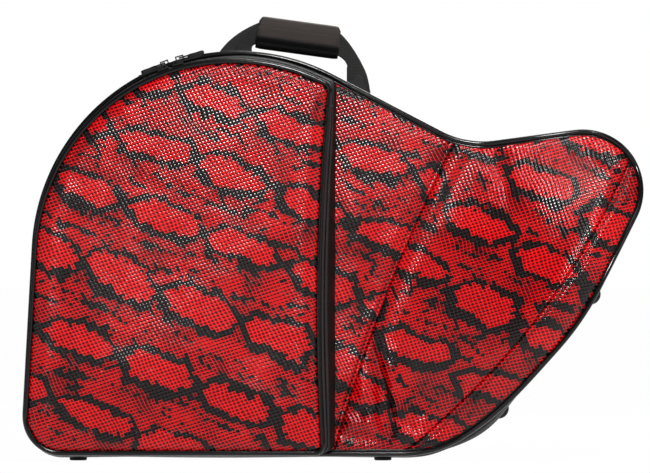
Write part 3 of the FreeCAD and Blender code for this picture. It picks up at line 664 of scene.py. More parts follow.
def split_by(points, centre, radius):
    """Runs of a closed outline inside and outside a circle, with the crossing points."""
    inside = np.linalg.norm(points - centre, axis=1) < radius
    count = len(points)
    crossings = [k for k in range(count) if inside[k] != inside[(k + 1) % count]]
    spots = []
    for k in crossings:
        a, b = points[k], points[(k + 1) % count]
        da, db = np.linalg.norm(a - centre) - radius, np.linalg.norm(b - centre) - radius
        spots.append(a + (b - a) * da / (da - db))
    first, second = crossings[0], crossings[1]
    run = points[first + 1:second + 1]
    rest = np.concatenate([points[second + 1:], points[:first + 1]])
    closed_run = np.concatenate([[spots[0]], run, [spots[1]], seam_arc(centre, radius, spots[1], spots[0])])
    closed_rest = np.concatenate([[spots[1]], rest, [spots[0]], seam_arc(centre, radius, spots[0], spots[1])])
    if inside[first + 1]:
        return closed_run, closed_rest
    return closed_rest, closed_run


def filled(outline, spacing, rings=()):
    """Triangles over a closed outline, with inner points on an even grid and along ring seams."""
    low, high = outline.min(0), outline.max(0)
    rows = []
    for row, z in enumerate(np.arange(low[1], high[1], spacing * math.sqrt(3) / 2)):
        xs = np.arange(low[0] + (row % 2) * spacing / 2, high[0], spacing)
        rows.append(np.stack([xs, np.full(len(xs), z)], -1))
    inner = np.concatenate(rows)
    for centre, radius in rings:
        inner = inner[np.abs(seam_distance(inner, centre, radius)) > SEAM_ROWS[-1] + spacing * 0.5]
        for reach in [radius + way * row for row in SEAM_ROWS for way in (-1, 1)]:
            angles = np.arange(0, 2 * math.pi, 2.2 / reach)
            inner = np.concatenate([inner, centre + reach * np.stack([np.cos(angles), np.sin(angles)], -1)])
    gaps = border_distance(inner, outline)
    inner = inner[inside_of(inner, outline) & (gaps > (0.4 if rings else spacing * 0.55))]
    spots = np.concatenate([outline, inner])
    count = len(outline)
    edges = [(k, (k + 1) % count) for k in range(count)]
    result = delaunay_2d_cdt([Vector(p) for p in spots], edges, [tuple(range(count))], 1, 1e-6)
    return np.array([tuple(v) for v in result[0]]), [tuple(f) for f in result[2]]


def inside_of(points, outline):
    """Even-odd test of many points against a closed outline."""
    x, z = points[:, 0], points[:, 1]
    within = np.zeros(len(points), bool)
    for a, b in zip(outline, np.roll(outline, -1, 0)):
        crosses = (a[1] > z) != (b[1] > z)
        if a[1] == b[1]:
            continue
        at = a[0] + (z - a[1]) * (b[0] - a[0]) / (b[1] - a[1])
        within ^= crosses & (x < at)
    return within


def border_distance(points, outline):
    """Distance of many points from a closed outline."""
    best = np.full(len(points), 1e9)
    for a, b in zip(outline, np.roll(outline, -1, 0)):
        along = b - a
        t = np.clip((points - a) @ along / max(along @ along, 1e-9), 0, 1)
        gap = points - a - t[:, None] * along
        best = np.minimum(best, np.einsum("ij,ij->i", gap, gap))
    return np.sqrt(best)


COVER_GRID = 4.0
CREASE_FLOOR = 4.2
SEAM_ROWS = (0.7, 1.4, 2.1, 2.9, 3.7, 4.3, 4.9, 5.6, 6.6, 8.5)
CASE_EDGE = cover_outline()


def cover_height(points):
    """Depth of the cover's face, never down to the shell under it."""
    border = border_distance(points, CASE_EDGE)
    relief = face_shape(points, border) + crease_shape(points)
    return half_depth(points) + np.maximum(relief, -CREASE_FLOOR)


def thicken_border(vertices, faces, side, depth):
    """Turns the open border of a front surface back by one row, so that no edge is paper thin."""
    count = len(vertices)
    used = dict.fromkeys(edge for face in faces for edge in zip(face, face[1:] + face[:1]))
    border = [(a, b) for a, b in used if (b, a) not in used]
    back = {}
    extra = []
    for a, b in border:
        for k in (a, b):
            if k not in back:
                back[k] = count + len(extra)
                extra.append(vertices[k] - np.array([0, side * depth, 0]))
    walls = [(b, a, back[a], back[b]) for a, b in border]
    return np.concatenate([vertices, extra]), faces + walls, list(back)


def cover_panel(half, side, panel, outline):
    points, faces = filled(outline, COVER_GRID, SEAMS)
    vertices = to_space(points, side * cover_height(points))
    uv = scale_cells(points * np.array([-side, 1]), panel)
    vertices, faces, border = thicken_border(vertices, faces, side, 3.0)
    uv = np.concatenate([uv, uv[border]])
    piece = outward_normals(make_mesh("%s_%s_skin" % (half, panel), vertices, faces, uv))
    return dress(piece, half, SNAKE[panel], "%s_cover_%s" % (half, panel), slot="snake_vinyl")


def cover_panels(half, side):
    right, body = split_by(CASE_EDGE, THROAT_CENTRE, THROAT_RADIUS)
    flare, rim = split_by(right, BELL_CENTRE, BELL_RADIUS)
    for panel, outline in (("body", body), ("flare", flare), ("rim", rim)):
        cover_panel(half, side, panel, outline)


STITCH_OFFSET = 4.6
STITCH_PITCH = 3.0
STITCH_HALF = 1.15
STITCH_RADIUS = 0.5


def seam_stitches(half, side, label, centre, radius):
    """Short thread dashes along a seam's raised edge."""
    right, _ = split_by(CASE_EDGE, centre, radius)
    angles = np.arctan2(right[:, 1] - centre[1], right[:, 0] - centre[0])
    on_seam = np.abs(np.linalg.norm(right - centre, axis=1) - radius) < 0.01
    low, high = angles[on_seam].min(), angles[on_seam].max()
    reach = radius + STITCH_OFFSET
    count = int((high - low) * reach / STITCH_PITCH)
    vertices, faces = [], []
    for k in range(2, count - 1):
        middle = low + (high - low) * (k + 0.5) / count
        turns = middle + np.array([-1, 1]) * STITCH_HALF / reach
        ends = centre + reach * np.stack([np.cos(turns), np.sin(turns)], -1)
        first, last = to_space(ends, side * (cover_height(ends) + 0.35))
        add_capsule(vertices, faces, first, last, STITCH_RADIUS)
    piece = make_mesh("%s_%s_stitches" % (half, label), vertices, faces)
    return dress(piece, half, DARK_THREAD, slot="snake_vinyl")


def rod_faces(base, sides):
    """Faces of a rod through four rings of points, the first ring at number base."""
    faces = []
    for ring in range(3):
        for k in range(sides):
            p, q = base + ring * sides + k, base + ring * sides + (k + 1) % sides
            faces.append((p, q, q + sides, p + sides))
    ends = [range(base + sides - 1, base - 1, -1), range(base + 3 * sides, base + 4 * sides)]
    return faces + [tuple(end) for end in ends]


def add_capsule(vertices, faces, a, b, radius, sides=6):
    """A short thread: a six-sided rod with pointed ends."""
    along = b - a
    length = np.linalg.norm(along)
    along = along / length
    across = np.cross(along, [0.3, 1.0, 0.2])
    across /= np.linalg.norm(across)
    other = np.cross(along, across)
    base = len(vertices)
    for spot, size in ((a - along * radius, 0.45), (a + along * radius, 1.0), (b - along * radius, 1.0),
                       (b + along * radius, 0.45)):
        for k in range(sides):
            angle = 2 * math.pi * k / sides
            vertices.append(spot + radius * size * (math.cos(angle) * across + math.sin(angle) * other))
    faces.extend(rod_faces(base, sides))


def stitch_row(vertices, faces, line, pitch, thread, radius):
    """Thread dashes along a line of points in space."""
    lengths = distances(line)
    for start in np.arange(pitch * 0.3, lengths[-1] - thread, pitch):
        first, last = at_distances(line, lengths, [start, start + thread])
        add_capsule(vertices, faces, first, last, radius)


# Piping, side bands, zipper and hinge.

FLANGE_RADIUS = 1.3
BAND_NEAR = 10.0
BAND_EDGE = 4.6
BAND_THICKNESS = 4.9
BAND_SWELL = 1.9
BAND_HEM = 2.6
LOW_BELL_SWELL = 3.4


def edge_line(inset, spacing=STEP):
    points, outs, at = even_belt(CASE_PULLEYS, inset, spacing)
    return points - outs * edge_pull(points)[:, None], outs, at


def case_piping(half, side):
    points, outs, _ = edge_line(PIPE_INSET)
    line = to_space(points, side * (half_depth(points) - PIPE_INSET))
    ways = to_space(outs, 0.0)
    grid = sweep(line, ways, round_section(PIPE_RADIUS))
    piece = grid_piece(half + "_piping_tube", grid, True, True)
    dress(piece, half, PIPING, half + "_piping", slot="piping_vinyl")
    inner = line - ways * 3.6
    inner[:, 1] = side * (half_depth(points) - 2.6)
    flange = sweep(inner, ways, round_section(FLANGE_RADIUS, 8))
    flange_piece = grid_piece(half + "_piping_flange", flange, True, True)
    dress(flange_piece, half, PIPING, slot="piping_vinyl")


def band_hem(share):
    """How far the band is drawn in beside its two sewn edges."""
    return BAND_HEM * (1 - smooth_step(share, 0, 0.12)) + BAND_HEM * smooth_step(share, 0.93, 1.0)


def side_band(half, side):
    """The plain vinyl band between the piping and the zipper, full in its middle."""
    base, base_outs, at = even_belt(CASE_PULLEYS, 0.0, STEP)
    near = PARTING_Y + side * BAND_NEAR
    far = side * (half_depth(base) - BAND_EDGE)
    ground = smooth_step(base[:, 1], 14.0, 6.0)
    rows = []
    for t in np.linspace(0, 1, 15):
        y = near + (far - near) * t
        arch = math.sin(math.pi * t)
        full = BAND_SWELL * math.sin(math.pi * min(1.0, t * 1.02)) ** 0.7
        ripple = 0.5 * np.sin(at / 33 + 5 * t) * arch
        lift = (full + ripple) * ground + LOW_BELL_SWELL * low_bell(base) * arch ** 0.6
        pull = edge_pull(base) * smooth_step(t, 0.55, 1.0)
        spot = base - base_outs * (pull + band_hem(t) - lift)[:, None]
        rows.append(to_space(spot, y))
    outer = np.stack(rows, 1)
    inner_first = to_space(base - base_outs * BAND_THICKNESS, near)
    inner_last = to_space(base - base_outs * (BAND_THICKNESS + edge_pull(base))[:, None], far)
    grid = np.concatenate([outer, inner_last[:, None], inner_first[:, None]], 1)
    piece = grid_piece(half + "_band", grid, True, True)
    return dress(piece, half, BLACK, half + "_side_band", slot="black_vinyl")


def band_stitches(half, side):
    """A row of thread along each edge of the side band, 3.6 mm and 6.5 mm in from them."""
    base, base_outs = open_run(*even_belt(CASE_PULLEYS, 0.0, 2.5)[:2])
    near = PARTING_Y + side * BAND_NEAR
    far = side * (half_depth(base) - BAND_EDGE)
    width = np.abs(far - near)
    vertices, faces = [], []
    for share in (3.6 / width, 1 - 6.5 / width):
        y = near + (far - near) * share
        arch = np.sin(math.pi * share)
        lift = BAND_SWELL * arch ** 0.7 * smooth_step(base[:, 1], 14.0, 6.0) - band_hem(share)
        lift += LOW_BELL_SWELL * low_bell(base) * arch ** 0.6
        lift -= edge_pull(base) * smooth_step(share, 0.55, 1.0)
        line = to_space(base + base_outs * (lift + 0.15)[:, None], y)
        stitch_row(vertices, faces, line, 3.4, 2.1, 0.4)
    piece = make_mesh(half + "_band_stitches", vertices, faces)
    return dress(piece, half, THREAD, slot="black_vinyl")


def hinge_stretch(points):
    """True where the base carries the fabric hinge."""
    return (points[:, 1] < FOOT_HEIGHT + 8) & (points[:, 0] > HINGE_LEFT) & (points[:, 0] < HINGE_RIGHT)


def one_run(kept, *lines):
    """The kept part of closed lines, each as one open run."""
    count = len(kept)
    start = next(k for k in range(count) if kept[k] and not kept[k - 1])
    order = [(start + k) % count for k in range(count) if kept[(start + k) % count]]
    return [line[order] for line in lines]


def open_run(points, outs):
    """The part of a closed line that isn't hinge, as one open run."""
    return one_run(~hinge_stretch(points), points, outs)


# The tape's section: distance from the parting plane and inset. A tooth's rings: distance from that plane,
# half width and height. Its section: places across and up, as shares of those.

TAPE_SECTION = ((1.0, 3.6), (1.0, 0.3), (2.2, 0.0), (6.0, -0.2), (10.4, 0.0), (11.5, 0.6), (11.5, 3.4))
TOOTH_RINGS = ((2.9, 0.55, -0.3), (2.0, 0.62, 0.75), (0.2, 0.68, 0.85), (-0.55, 0.5, 0.5))
TOOTH_SECTION = ((-1, -1.2), (-1, 0.0), (-0.55, 1.0), (0.55, 1.0), (1, 0.0), (1, -1.2))
TOOTH_PITCH = 2.8


def zip_tape(half, side):
    points, outs = open_run(*even_belt(CASE_PULLEYS, 1.4, STEP)[:2])
    grid = [to_space(points - outs * inset, PARTING_Y + side * y) for y, inset in TAPE_SECTION]
    piece = grid_piece(half + "_tape", np.stack(grid, 1), False, True, caps=True)
    return dress(piece, half, TAPE, half + "_zip_tape", slot="tape")


def zip_teeth(half, side):
    """Coil teeth that pass just over the parting plane, between those of the other half."""
    points, outs = open_run(*even_belt(CASE_PULLEYS, 0.6, TOOTH_PITCH, 1.0)[:2])
    if side > 0:
        points = (points + np.roll(points, -1, 0))[:-1] / 2
        outs = outs[:-1]
    vertices, faces = [], []
    for spot, out in zip(points, outs):
        along = np.array([out[1], -out[0]])
        base = len(vertices)
        for y, half_width, top in TOOTH_RINGS:
            for across, lift in TOOTH_SECTION:
                raised = lift * top if lift > 0 else lift
                place = spot + along * across * half_width + out * raised
                vertices.append(np.array([place[0], PARTING_Y + side * y, place[1]]))
        faces += rod_faces(base, len(TOOTH_SECTION))
    piece = outward_normals(make_mesh(half + "_teeth", vertices, faces))
    return dress(piece, half, COIL, half + "_zip_coil", slot="coil")


HINGE_REACH = 10.6


def row_at(xs, y, z):
    """Points over places xs, at one depth y and at height z."""
    return np.stack([xs, np.full(len(xs), y), np.broadcast_to(z, len(xs))], -1)


def hinge_strip():
    """One fabric strip under the base, which dips a little where the two halves meet."""
    xs = np.arange(HINGE_LEFT + 1, HINGE_RIGHT, STEP)
    ys = np.linspace(-HINGE_REACH, HINGE_REACH, 17)
    grid = []
    for y in ys:
        sag = 0.35 * math.cos(math.pi * y / HINGE_REACH) + 0.4
        grid.append(row_at(xs, PARTING_Y + y, FOOT_HEIGHT + 1.6 - sag))
    for y in ys[::-1]:
        grid.append(row_at(xs, PARTING_Y + y, FOOT_HEIGHT + 2.9))
    piece = grid_piece("hinge_strip", np.stack(grid, 1), False, True, caps=True)
    dress(piece, None, TAPE, "lid_hinge_leaf", "tray_hinge_leaf", slot="tape")
    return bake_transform(piece)


# The pocket.

def pocket_pulleys(inset, crown_shift, crown_drop, top_x, low_x, sag):
    nudge = 0.3
    crown_radius = CROWN_RADIUS - inset - crown_shift
    crown = CROWN - np.array([crown_shift, crown_drop])
    reach = crown_radius - POCKET_CORNER + nudge
    top_corner = np.array([top_x - POCKET_CORNER,
                           crown[1] + math.sqrt(reach ** 2 - (top_x - POCKET_CORNER - crown[0]) ** 2)])
    low_corner = np.array([low_x - POCKET_CORNER, FOOT_HEIGHT + inset + POCKET_CORNER])
    middle = np.array([(top_x + low_x) / 2 - sag, (top_corner[1] + low_corner[1]) / 2])
    hollow, radius = circle_through((top_x, top_corner[1]), middle, (low_x, low_corner[1]))
    return [(TOE, 41.0 - inset), (crown, crown_radius), (top_corner, POCKET_CORNER),
            (hollow, nudge - radius), (low_corner, POCKET_CORNER)]


ROOT_PULLEYS = pocket_pulleys(5.3, 0.0, 0.0, 3.4, 2.4, 1.0)
EDGE_PULLEYS = pocket_pulleys(1.5, 4.0, 3.0, -0.8, -8.0, 7.5)
FOLD_ALONG = (FOLD_LOW - FOLD_TOP) / np.linalg.norm(FOLD_LOW - FOLD_TOP)
FOLD_RIGHT = np.array([-FOLD_ALONG[1], FOLD_ALONG[0]])
ZIP_OVERRUN = 14.0
TAPE_SINK = 1.6
WALL_THICKNESS = 2.2
PUFF = 6.2
PUFF_REACH = 105.0
POCKET_ROLL_REACH = 9.0
POCKET_ROLL_DROP = 3.4


def fold_distance(points):
    """Signed distance right of the pocket's fold line."""
    return (np.asarray(points) - FOLD_TOP) @ FOLD_RIGHT


def fold_blend(piece):
    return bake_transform(piece)


def pocket_face(points, border):
    """Depth of the pocket's puffed front at each point."""
    full = 1 - np.clip(1 - border / PUFF_REACH, 0, 1) ** 2
    x, z = points[:, 0], points[:, 1]
    soft = 0.7 * np.sin(x / 41 + 0.6) * np.sin(z / 52) + 0.4 * np.sin(x / 23 - z / 29)
    roll = np.clip(1 - border / POCKET_ROLL_REACH, 0, 1) ** 2
    y = POCKET_FACE_Y + 0.8 - PUFF * full - soft * full + POCKET_ROLL_DROP * roll
    return y - 1.2 * bump(border, 14.0, 8.0)


def pocket_lining():
    """Plain cloth behind the pocket's front."""
    outline, _, _ = belt(EDGE_PULLEYS, PIPE_INSET + 3.0, STEP)
    points, faces = filled(outline, 6.0)
    border = border_distance(points, outline)
    vertices = to_space(points, pocket_face(points, border + 2.4) + 1.6)
    vertices, faces, _ = thicken_border(vertices, faces, 1, 0.8)
    piece = outward_normals(make_mesh("pocket_lining", vertices, faces))
    dress(piece, None, BLACK, slot="black_vinyl")
    return fold_blend(piece)


def pocket_front():
    outline, _, _ = belt(EDGE_PULLEYS, PIPE_INSET + 0.6, STEP)
    points, faces = filled(outline, 3.5)
    border = border_distance(points, outline)
    vertices = to_space(points, pocket_face(points, border))
    uv = scale_cells(points, "body")
    vertices, faces, edge = thicken_border(vertices, faces, -1, 2.0)
    uv = np.concatenate([uv, uv[edge]])
    piece = outward_normals(make_mesh("pocket_front", vertices, faces, uv))
    dress(piece, None, SNAKE["body"], "pocket_panel", "pocket_flap", slot="snake_vinyl")
    return fold_blend(piece)


def pocket_piping():
    points, outs, _ = even_belt(EDGE_PULLEYS, PIPE_INSET, 2.5, STEP)
    y = np.full(len(points), POCKET_FACE_Y + 2.5)
    grid = sweep(to_space(points, y), to_space(outs, 0.0), round_section(PIPE_RADIUS))
    piece = grid_piece("pocket_piping_tube", grid, True, True)
    dress(piece, None, PIPING, "pocket_piping", "pocket_flap_piping", slot="piping_vinyl")
    return fold_blend(piece)


def pocket_level(y):
    """Share of the way from the pocket's root to its front edge, at depth y."""
    return np.clip((y - POCKET_ROOT_Y) / (POCKET_EDGE_Y - POCKET_ROOT_Y), 0, 1)


def pocket_wall():
    """The pocket's vinyl side, bellied between its root and its zipper or front edge."""
    root, _, counts = belt(ROOT_PULLEYS, 0.0, STEP)
    edge, outs, _ = belt(EDGE_PULLEYS, 0.0, STEP, counts)
    at_zip = fold_distance(edge) > -ZIP_OVERRUN - 1.0
    near = POCKET_ROOT_Y + 3.0
    far = np.where(at_zip, POCKET_EDGE_Y + POCKET_TAPE, POCKET_EDGE_Y)
    wave = 0.9 + 0.35 * np.sin(np.arange(len(root)) / 7.0)
    lifts = [(t, wave * math.sin(math.pi * t)) for t in np.linspace(0, 1, 13)]
    lifts += [(t, np.full(len(root), -WALL_THICKNESS)) for t in np.linspace(1, 0, 3)]
    rows = []
    for t, lift in lifts:
        y = near + (far - near) * t
        spot = root + (edge - root) * pocket_level(y)[:, None] + outs * lift[:, None]
        rows.append(to_space(spot, y))
    piece = grid_piece("pocket_wall", np.stack(rows, 1), True, True)
    return dress(piece, "lid", BLACK, "pocket_gusset", slot="black_vinyl")


def pocket_level_line(y, inset):
    """The stretch of the pocket's sloping side that carries the zipper, at one depth."""
    root, _, counts = belt(ROOT_PULLEYS, 0.0, STEP)
    edge, outs, _ = belt(EDGE_PULLEYS, 0.0, STEP, counts)
    points = root + (edge - root) * pocket_level(y) - outs * inset
    return one_run(fold_distance(edge) > -ZIP_OVERRUN, points, outs)


def pocket_tape(label, near, far):
    """One side of the pocket's zipper tape, sunk where it passes the fold, under the slider's stop."""
    rows = []
    for y, inset in ((near, 2.2), (near, -0.1), ((near + far) / 2, -0.45), (far, -0.1), (far, 2.2)):
        points, outs = pocket_level_line(y, inset)
        sink = TAPE_SINK * np.clip((6.0 - fold_distance(points)) / 10.0, 0, 1)
        rows.append(to_space(points - outs * sink[:, None], y))
    return grid_piece(label, np.stack(rows, 1), False, True, caps=True)


def pocket_zip():
    middle = POCKET_EDGE_Y + POCKET_TAPE / 2
    lower = pocket_tape("pocket_tape_rear", POCKET_EDGE_Y + POCKET_TAPE - 0.4, middle + 1.1)
    dress(lower, "lid", TAPE, "pocket_zip_tape", slot="tape")
    upper = pocket_tape("pocket_tape_front", middle - 1.1, POCKET_EDGE_Y + 0.2)
    dress(upper, None, TAPE, slot="tape")
    fold_blend(upper)
    points, outs = pocket_level_line(middle, 0.0)
    lengths = distances(points)
    at = np.arange(1.0, lengths[-1], 1.3)
    spots, ways = at_distances(points, lengths, at), to_space(at_distances(outs, lengths, at), 0.0)
    vertices, faces = [], []
    for k, (spot, way) in enumerate(zip(spots, ways)):
        side = 1 if k % 2 else -1
        a = to_space(spot, middle + side * 1.9) + way * 0.2
        b = to_space(spot, middle - side * 0.5) + way * 0.7
        add_capsule(vertices, faces, a, b, 0.62)
    piece = make_mesh("pocket_teeth", vertices, faces)
    return dress(piece, "lid", COIL, slot="coil")


HALVES = (("lid", -1), ("tray", 1))
for half_name, half_side in HALVES:
    cover_panels(half_name, half_side)
    seam_stitches(half_name, half_side, "throat", THROAT_CENTRE, THROAT_RADIUS)
    seam_stitches(half_name, half_side, "bell", BELL_CENTRE, BELL_RADIUS)
    case_piping(half_name, half_side)
    side_band(half_name, half_side)
    band_stitches(half_name, half_side)
    zip_tape(half_name, half_side)
    zip_teeth(half_name, half_side)
hinge_strip()
pocket_front()
pocket_lining()
pocket_piping()
pocket_wall()
pocket_zip()

# Carrying handle.

HANDLE_SLOPE = math.radians(11.3)
HANDLE_AXIS = np.array([-77.0, 426.6])
HANDLE_UP = np.array([math.sin(HANDLE_SLOPE), math.cos(HANDLE_SLOPE)])
GRIP_SLOPE = math.radians(7.8)
GRIP_CENTRE = np.array([-36.0, 438.4])
WRAP_RAISE = 1.2
GRIP_LENGTH = 87.0
GRIP_HEIGHT = 33.4
GRIP_DEPTH = 22.0
GRIP_WEB = 11.5
FLAP_TOP = 8.17
FLAP_HEIGHT = 16.0
FLAP_STITCHES = 41.0
WEBBING = 2.5
GRIP_SEAM = -2.4
STRAP_LIFT = 1.2


def grip_place(along, up):
    """A place in the grip's own frame, as x and z."""
    along, up = np.asarray(along, float), np.asarray(up, float)
    return np.stack([GRIP_CENTRE[0] + along * math.cos(GRIP_SLOPE) + up * math.sin(GRIP_SLOPE),
                     GRIP_CENTRE[1] - along * math.sin(GRIP_SLOPE) + up * math.cos(GRIP_SLOPE)], -1)


def axis_place(x):
    return np.array([x, HANDLE_AXIS[1] - (x - HANDLE_AXIS[0]) * math.tan(HANDLE_SLOPE)])


def on_crown(x, lift):
    """A place over the round top of the side band."""
    return np.array([x, CROWN[1] + lift + math.sqrt(CROWN_RADIUS ** 2 - (x - CROWN[0]) ** 2)])


def soft_curve(first, pull, last, count):
    """A quadratic curve between two places, drawn towards a third."""
    t = np.linspace(0, 1, count)[:, None]
    return (1 - t) ** 2 * first + 2 * t * (1 - t) * pull + t ** 2 * last


def strap_edges(outer_x, inner_x, outer_pull, inner_pull):
    """Matching points on the two edges of one strap, from the left foot to the right one."""
    half = GRIP_LENGTH / 2
    left_top, left_low = grip_place(-half, GRIP_WEB), grip_place(-half, -GRIP_WEB)
    right_top, right_low = grip_place(half, GRIP_WEB), grip_place(half, -GRIP_WEB)
    upper = np.concatenate([
        soft_curve(on_crown(outer_x, STRAP_LIFT), outer_pull, left_top, 22),
        left_top + (right_top - left_top) * np.linspace(0.05, 0.95, 12)[:, None],
        soft_curve(right_top, np.array([22.0, 431.0]), np.array([33.6, 406.5]), 18),
        soft_curve(np.array([34.2, 405.2]), np.array([38.2, 396.0]), on_crown(40.6, STRAP_LIFT), 9)])
    lower = np.concatenate([
        soft_curve(on_crown(inner_x, STRAP_LIFT), inner_pull, left_low, 22),
        left_low + (right_low - left_low) * np.linspace(0.05, 0.95, 12)[:, None],
        soft_curve(right_low, np.array([14.5, 416.0]), axis_place(14.7) + HANDLE_UP * 2, 18),
        soft_curve(axis_place(14.7), np.array([14.7, 400.0]), on_crown(14.7, STRAP_LIFT), 9)])
    return upper, lower


def webbing_strap(strap, outer_x, inner_x, outer_pull, inner_pull, y_middle, twist):
    upper, lower = strap_edges(outer_x, inner_x, np.array(outer_pull), np.array(inner_pull))
    stations = len(upper)
    across = np.concatenate([[0.0, 0.015], np.linspace(0.05, 0.95, 21), [0.985, 1.0]])
    share = np.linspace(0, 1, stations)
    bow = twist * np.sin(np.clip(share / 0.36, 0, 1) * math.pi)
    front, back = [], []
    for t in across:
        edge = min(t, 1 - t)
        half = WEBBING / 2 * min(1.0, 0.35 + edge * 18)
        ribs = 0.1 * math.cos(2 * math.pi * 7 * t)
        spot = upper + (lower - upper) * t
        y = y_middle + bow * (1 - 2 * t)
        front.append(to_space(spot, y - half - ribs))
        back.append(to_space(spot, y + half + ribs))
    grid = np.stack(front + back[::-1], 1)
    piece = grid_piece("handle_strap_" + strap, grid, False, True, caps=True)
    dress(piece, None, WEBBING_CLOTH, "handle_%s_strap" % strap, slot="webbing")
    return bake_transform(piece)


def stitches(label, lines, body, pitch=3.0, thread=2.0, radius=0.35, slot="webbing", material=THREAD):
    vertices, faces = [], []
    for line in lines:
        stitch_row(vertices, faces, line, pitch, thread, radius)
    return dress(make_mesh(label, vertices, faces), body, material, slot=slot)


def grip_section(count):
    """The wrap's section as (depth, up), rounder at its foot, with a lip along its top back."""
    angles = np.arange(count) * 2 * math.pi / count
    c, sn = np.cos(angles), np.sin(angles)
    depth = GRIP_DEPTH / 2 * np.sign(c) * np.abs(c) ** 0.62
    up = GRIP_HEIGHT / 2 * np.sign(sn) * np.abs(sn) ** 0.55
    lip = np.exp(-((angles - math.radians(58)) / 0.13) ** 2)
    return np.stack([depth, up + 2.6 * lip], -1)


def darken_below_seam(piece):
    """Gives the smooth dark cloth to what is in front and under the wrap's seam."""
    piece.data.materials.append(GRIP_DARK)
    piece.data.materials.append(GRIP_EDGE)
    for polygon in piece.data.polygons:
        x, z = polygon.center.x / MM - GRIP_CENTRE[0], polygon.center.z / MM - GRIP_CENTRE[1]
        up = x * math.sin(GRIP_SLOPE) + z * math.cos(GRIP_SLOPE)
        if up < GRIP_SEAM and polygon.center.y < 0:
            polygon.material_index = 1
        elif up > GRIP_HEIGHT / 2 + WRAP_RAISE + 0.4:
            polygon.material_index = 2


def grip_wrap():
    section = grip_section(72)
    along = np.linspace(-GRIP_LENGTH / 2, GRIP_LENGTH / 2, 56)
    rows = []
    for place in along:
        near_end = np.clip((abs(place) - GRIP_LENGTH / 2 + 7) / 7, 0, 1)
        size = 1 - 0.05 * near_end ** 2
        soft = 1 + 0.012 * math.sin(place / 6.5) + 0.01 * math.sin(place / 3.1 + 1)
        depth = section[:, 0] * size * soft
        up = section[:, 1] * size + WRAP_RAISE
        lean = 3.0 * near_end * np.clip(up / (GRIP_HEIGHT / 2), 0, 1) * -place / (GRIP_LENGTH / 2)
        spot = grip_place(place + lean, up)
        rows.append(to_space(spot, depth))
    inner = []
    for place in (along[-1] - 0.5, along[-1] - 4, along[0] + 4, along[0] + 0.5):
        spot = grip_place(place, section[:, 1] * 0.78)
        inner.append(to_space(spot, section[:, 0] * 0.42))
    grid = np.stack(rows + inner, 0)
    piece = grid_piece("grip_wrap_pad", grid, True, True)
    dress(piece, "handle", GRIP, "grip_wrap", slot="grip_fabric")
    darken_below_seam(piece)
    back = to_space(grip_place(np.linspace(-40, 40, 40), 9.0), GRIP_DEPTH / 2 + 0.1)
    return stitches("grip_wrap_stitches", [back], "handle", slot="grip_fabric")


def grip_flap():
    """The hook-and-loop flap that closes the wrap, with a stitched border."""
    columns = np.linspace(-GRIP_LENGTH / 2 + 0.5, GRIP_LENGTH / 2 - 0.5, 60)
    ups = np.linspace(FLAP_TOP, FLAP_TOP - FLAP_HEIGHT, 22)
    front, back = [], []
    for k, up in enumerate(ups):
        share = k / (len(ups) - 1)
        edge = min(share, 1 - share)
        half = min(1.0, 0.5 + 6 * edge) * (1 - 0.8 * smooth_step(share, 0.72, 1.0))
        ends = np.clip((np.abs(columns) - GRIP_LENGTH / 2 + 3) / 3, 0, 1)
        lift = 0.35 * np.sin(columns / 8.0 + 2 * share) * share
        groove = 0.55 * math.exp(-((up - GRIP_SEAM) / 0.7) ** 2)
        middle = -GRIP_DEPTH / 2 - 1.45 - lift * 0.6 + 1.0 * smooth_step(share, 0.72, 1.0)
        spot = grip_place(columns, np.full(len(columns), up))
        front.append(to_space(spot, middle - half * (1 - 0.5 * ends) + groove))
        back.append(to_space(spot, middle + half * (1 - 0.5 * ends)))
    piece = grid_piece("grip_flap_cover", np.stack(front + back[::-1], 1), False, True, caps=True)
    dress(piece, "grip_flap", GRIP, "grip_flap", slot="grip_fabric")
    darken_below_seam(piece)
    y = -GRIP_DEPTH / 2 - 2.55
    row = to_space(grip_place(np.linspace(-FLAP_STITCHES, FLAP_STITCHES, 60), GRIP_SEAM), y)
    ups = np.linspace(GRIP_SEAM, FLAP_TOP - 1.5, 12)
    left, right = [to_space(grip_place(place, ups), y) for place in (-FLAP_STITCHES, FLAP_STITCHES)]
    lines = [row, left, right]
    return stitches("grip_flap_stitches", lines, "grip_flap", 2.4, 1.5, 0.42, "grip_fabric", DARK_THREAD)


# Half of the places across an anchor's patch, closer together where it rises to its sleeve.

ANCHOR_YS = np.array([3.8, 4.2, 4.8, 5.8, 7.5, 10, 13, 14.6, 15.0])


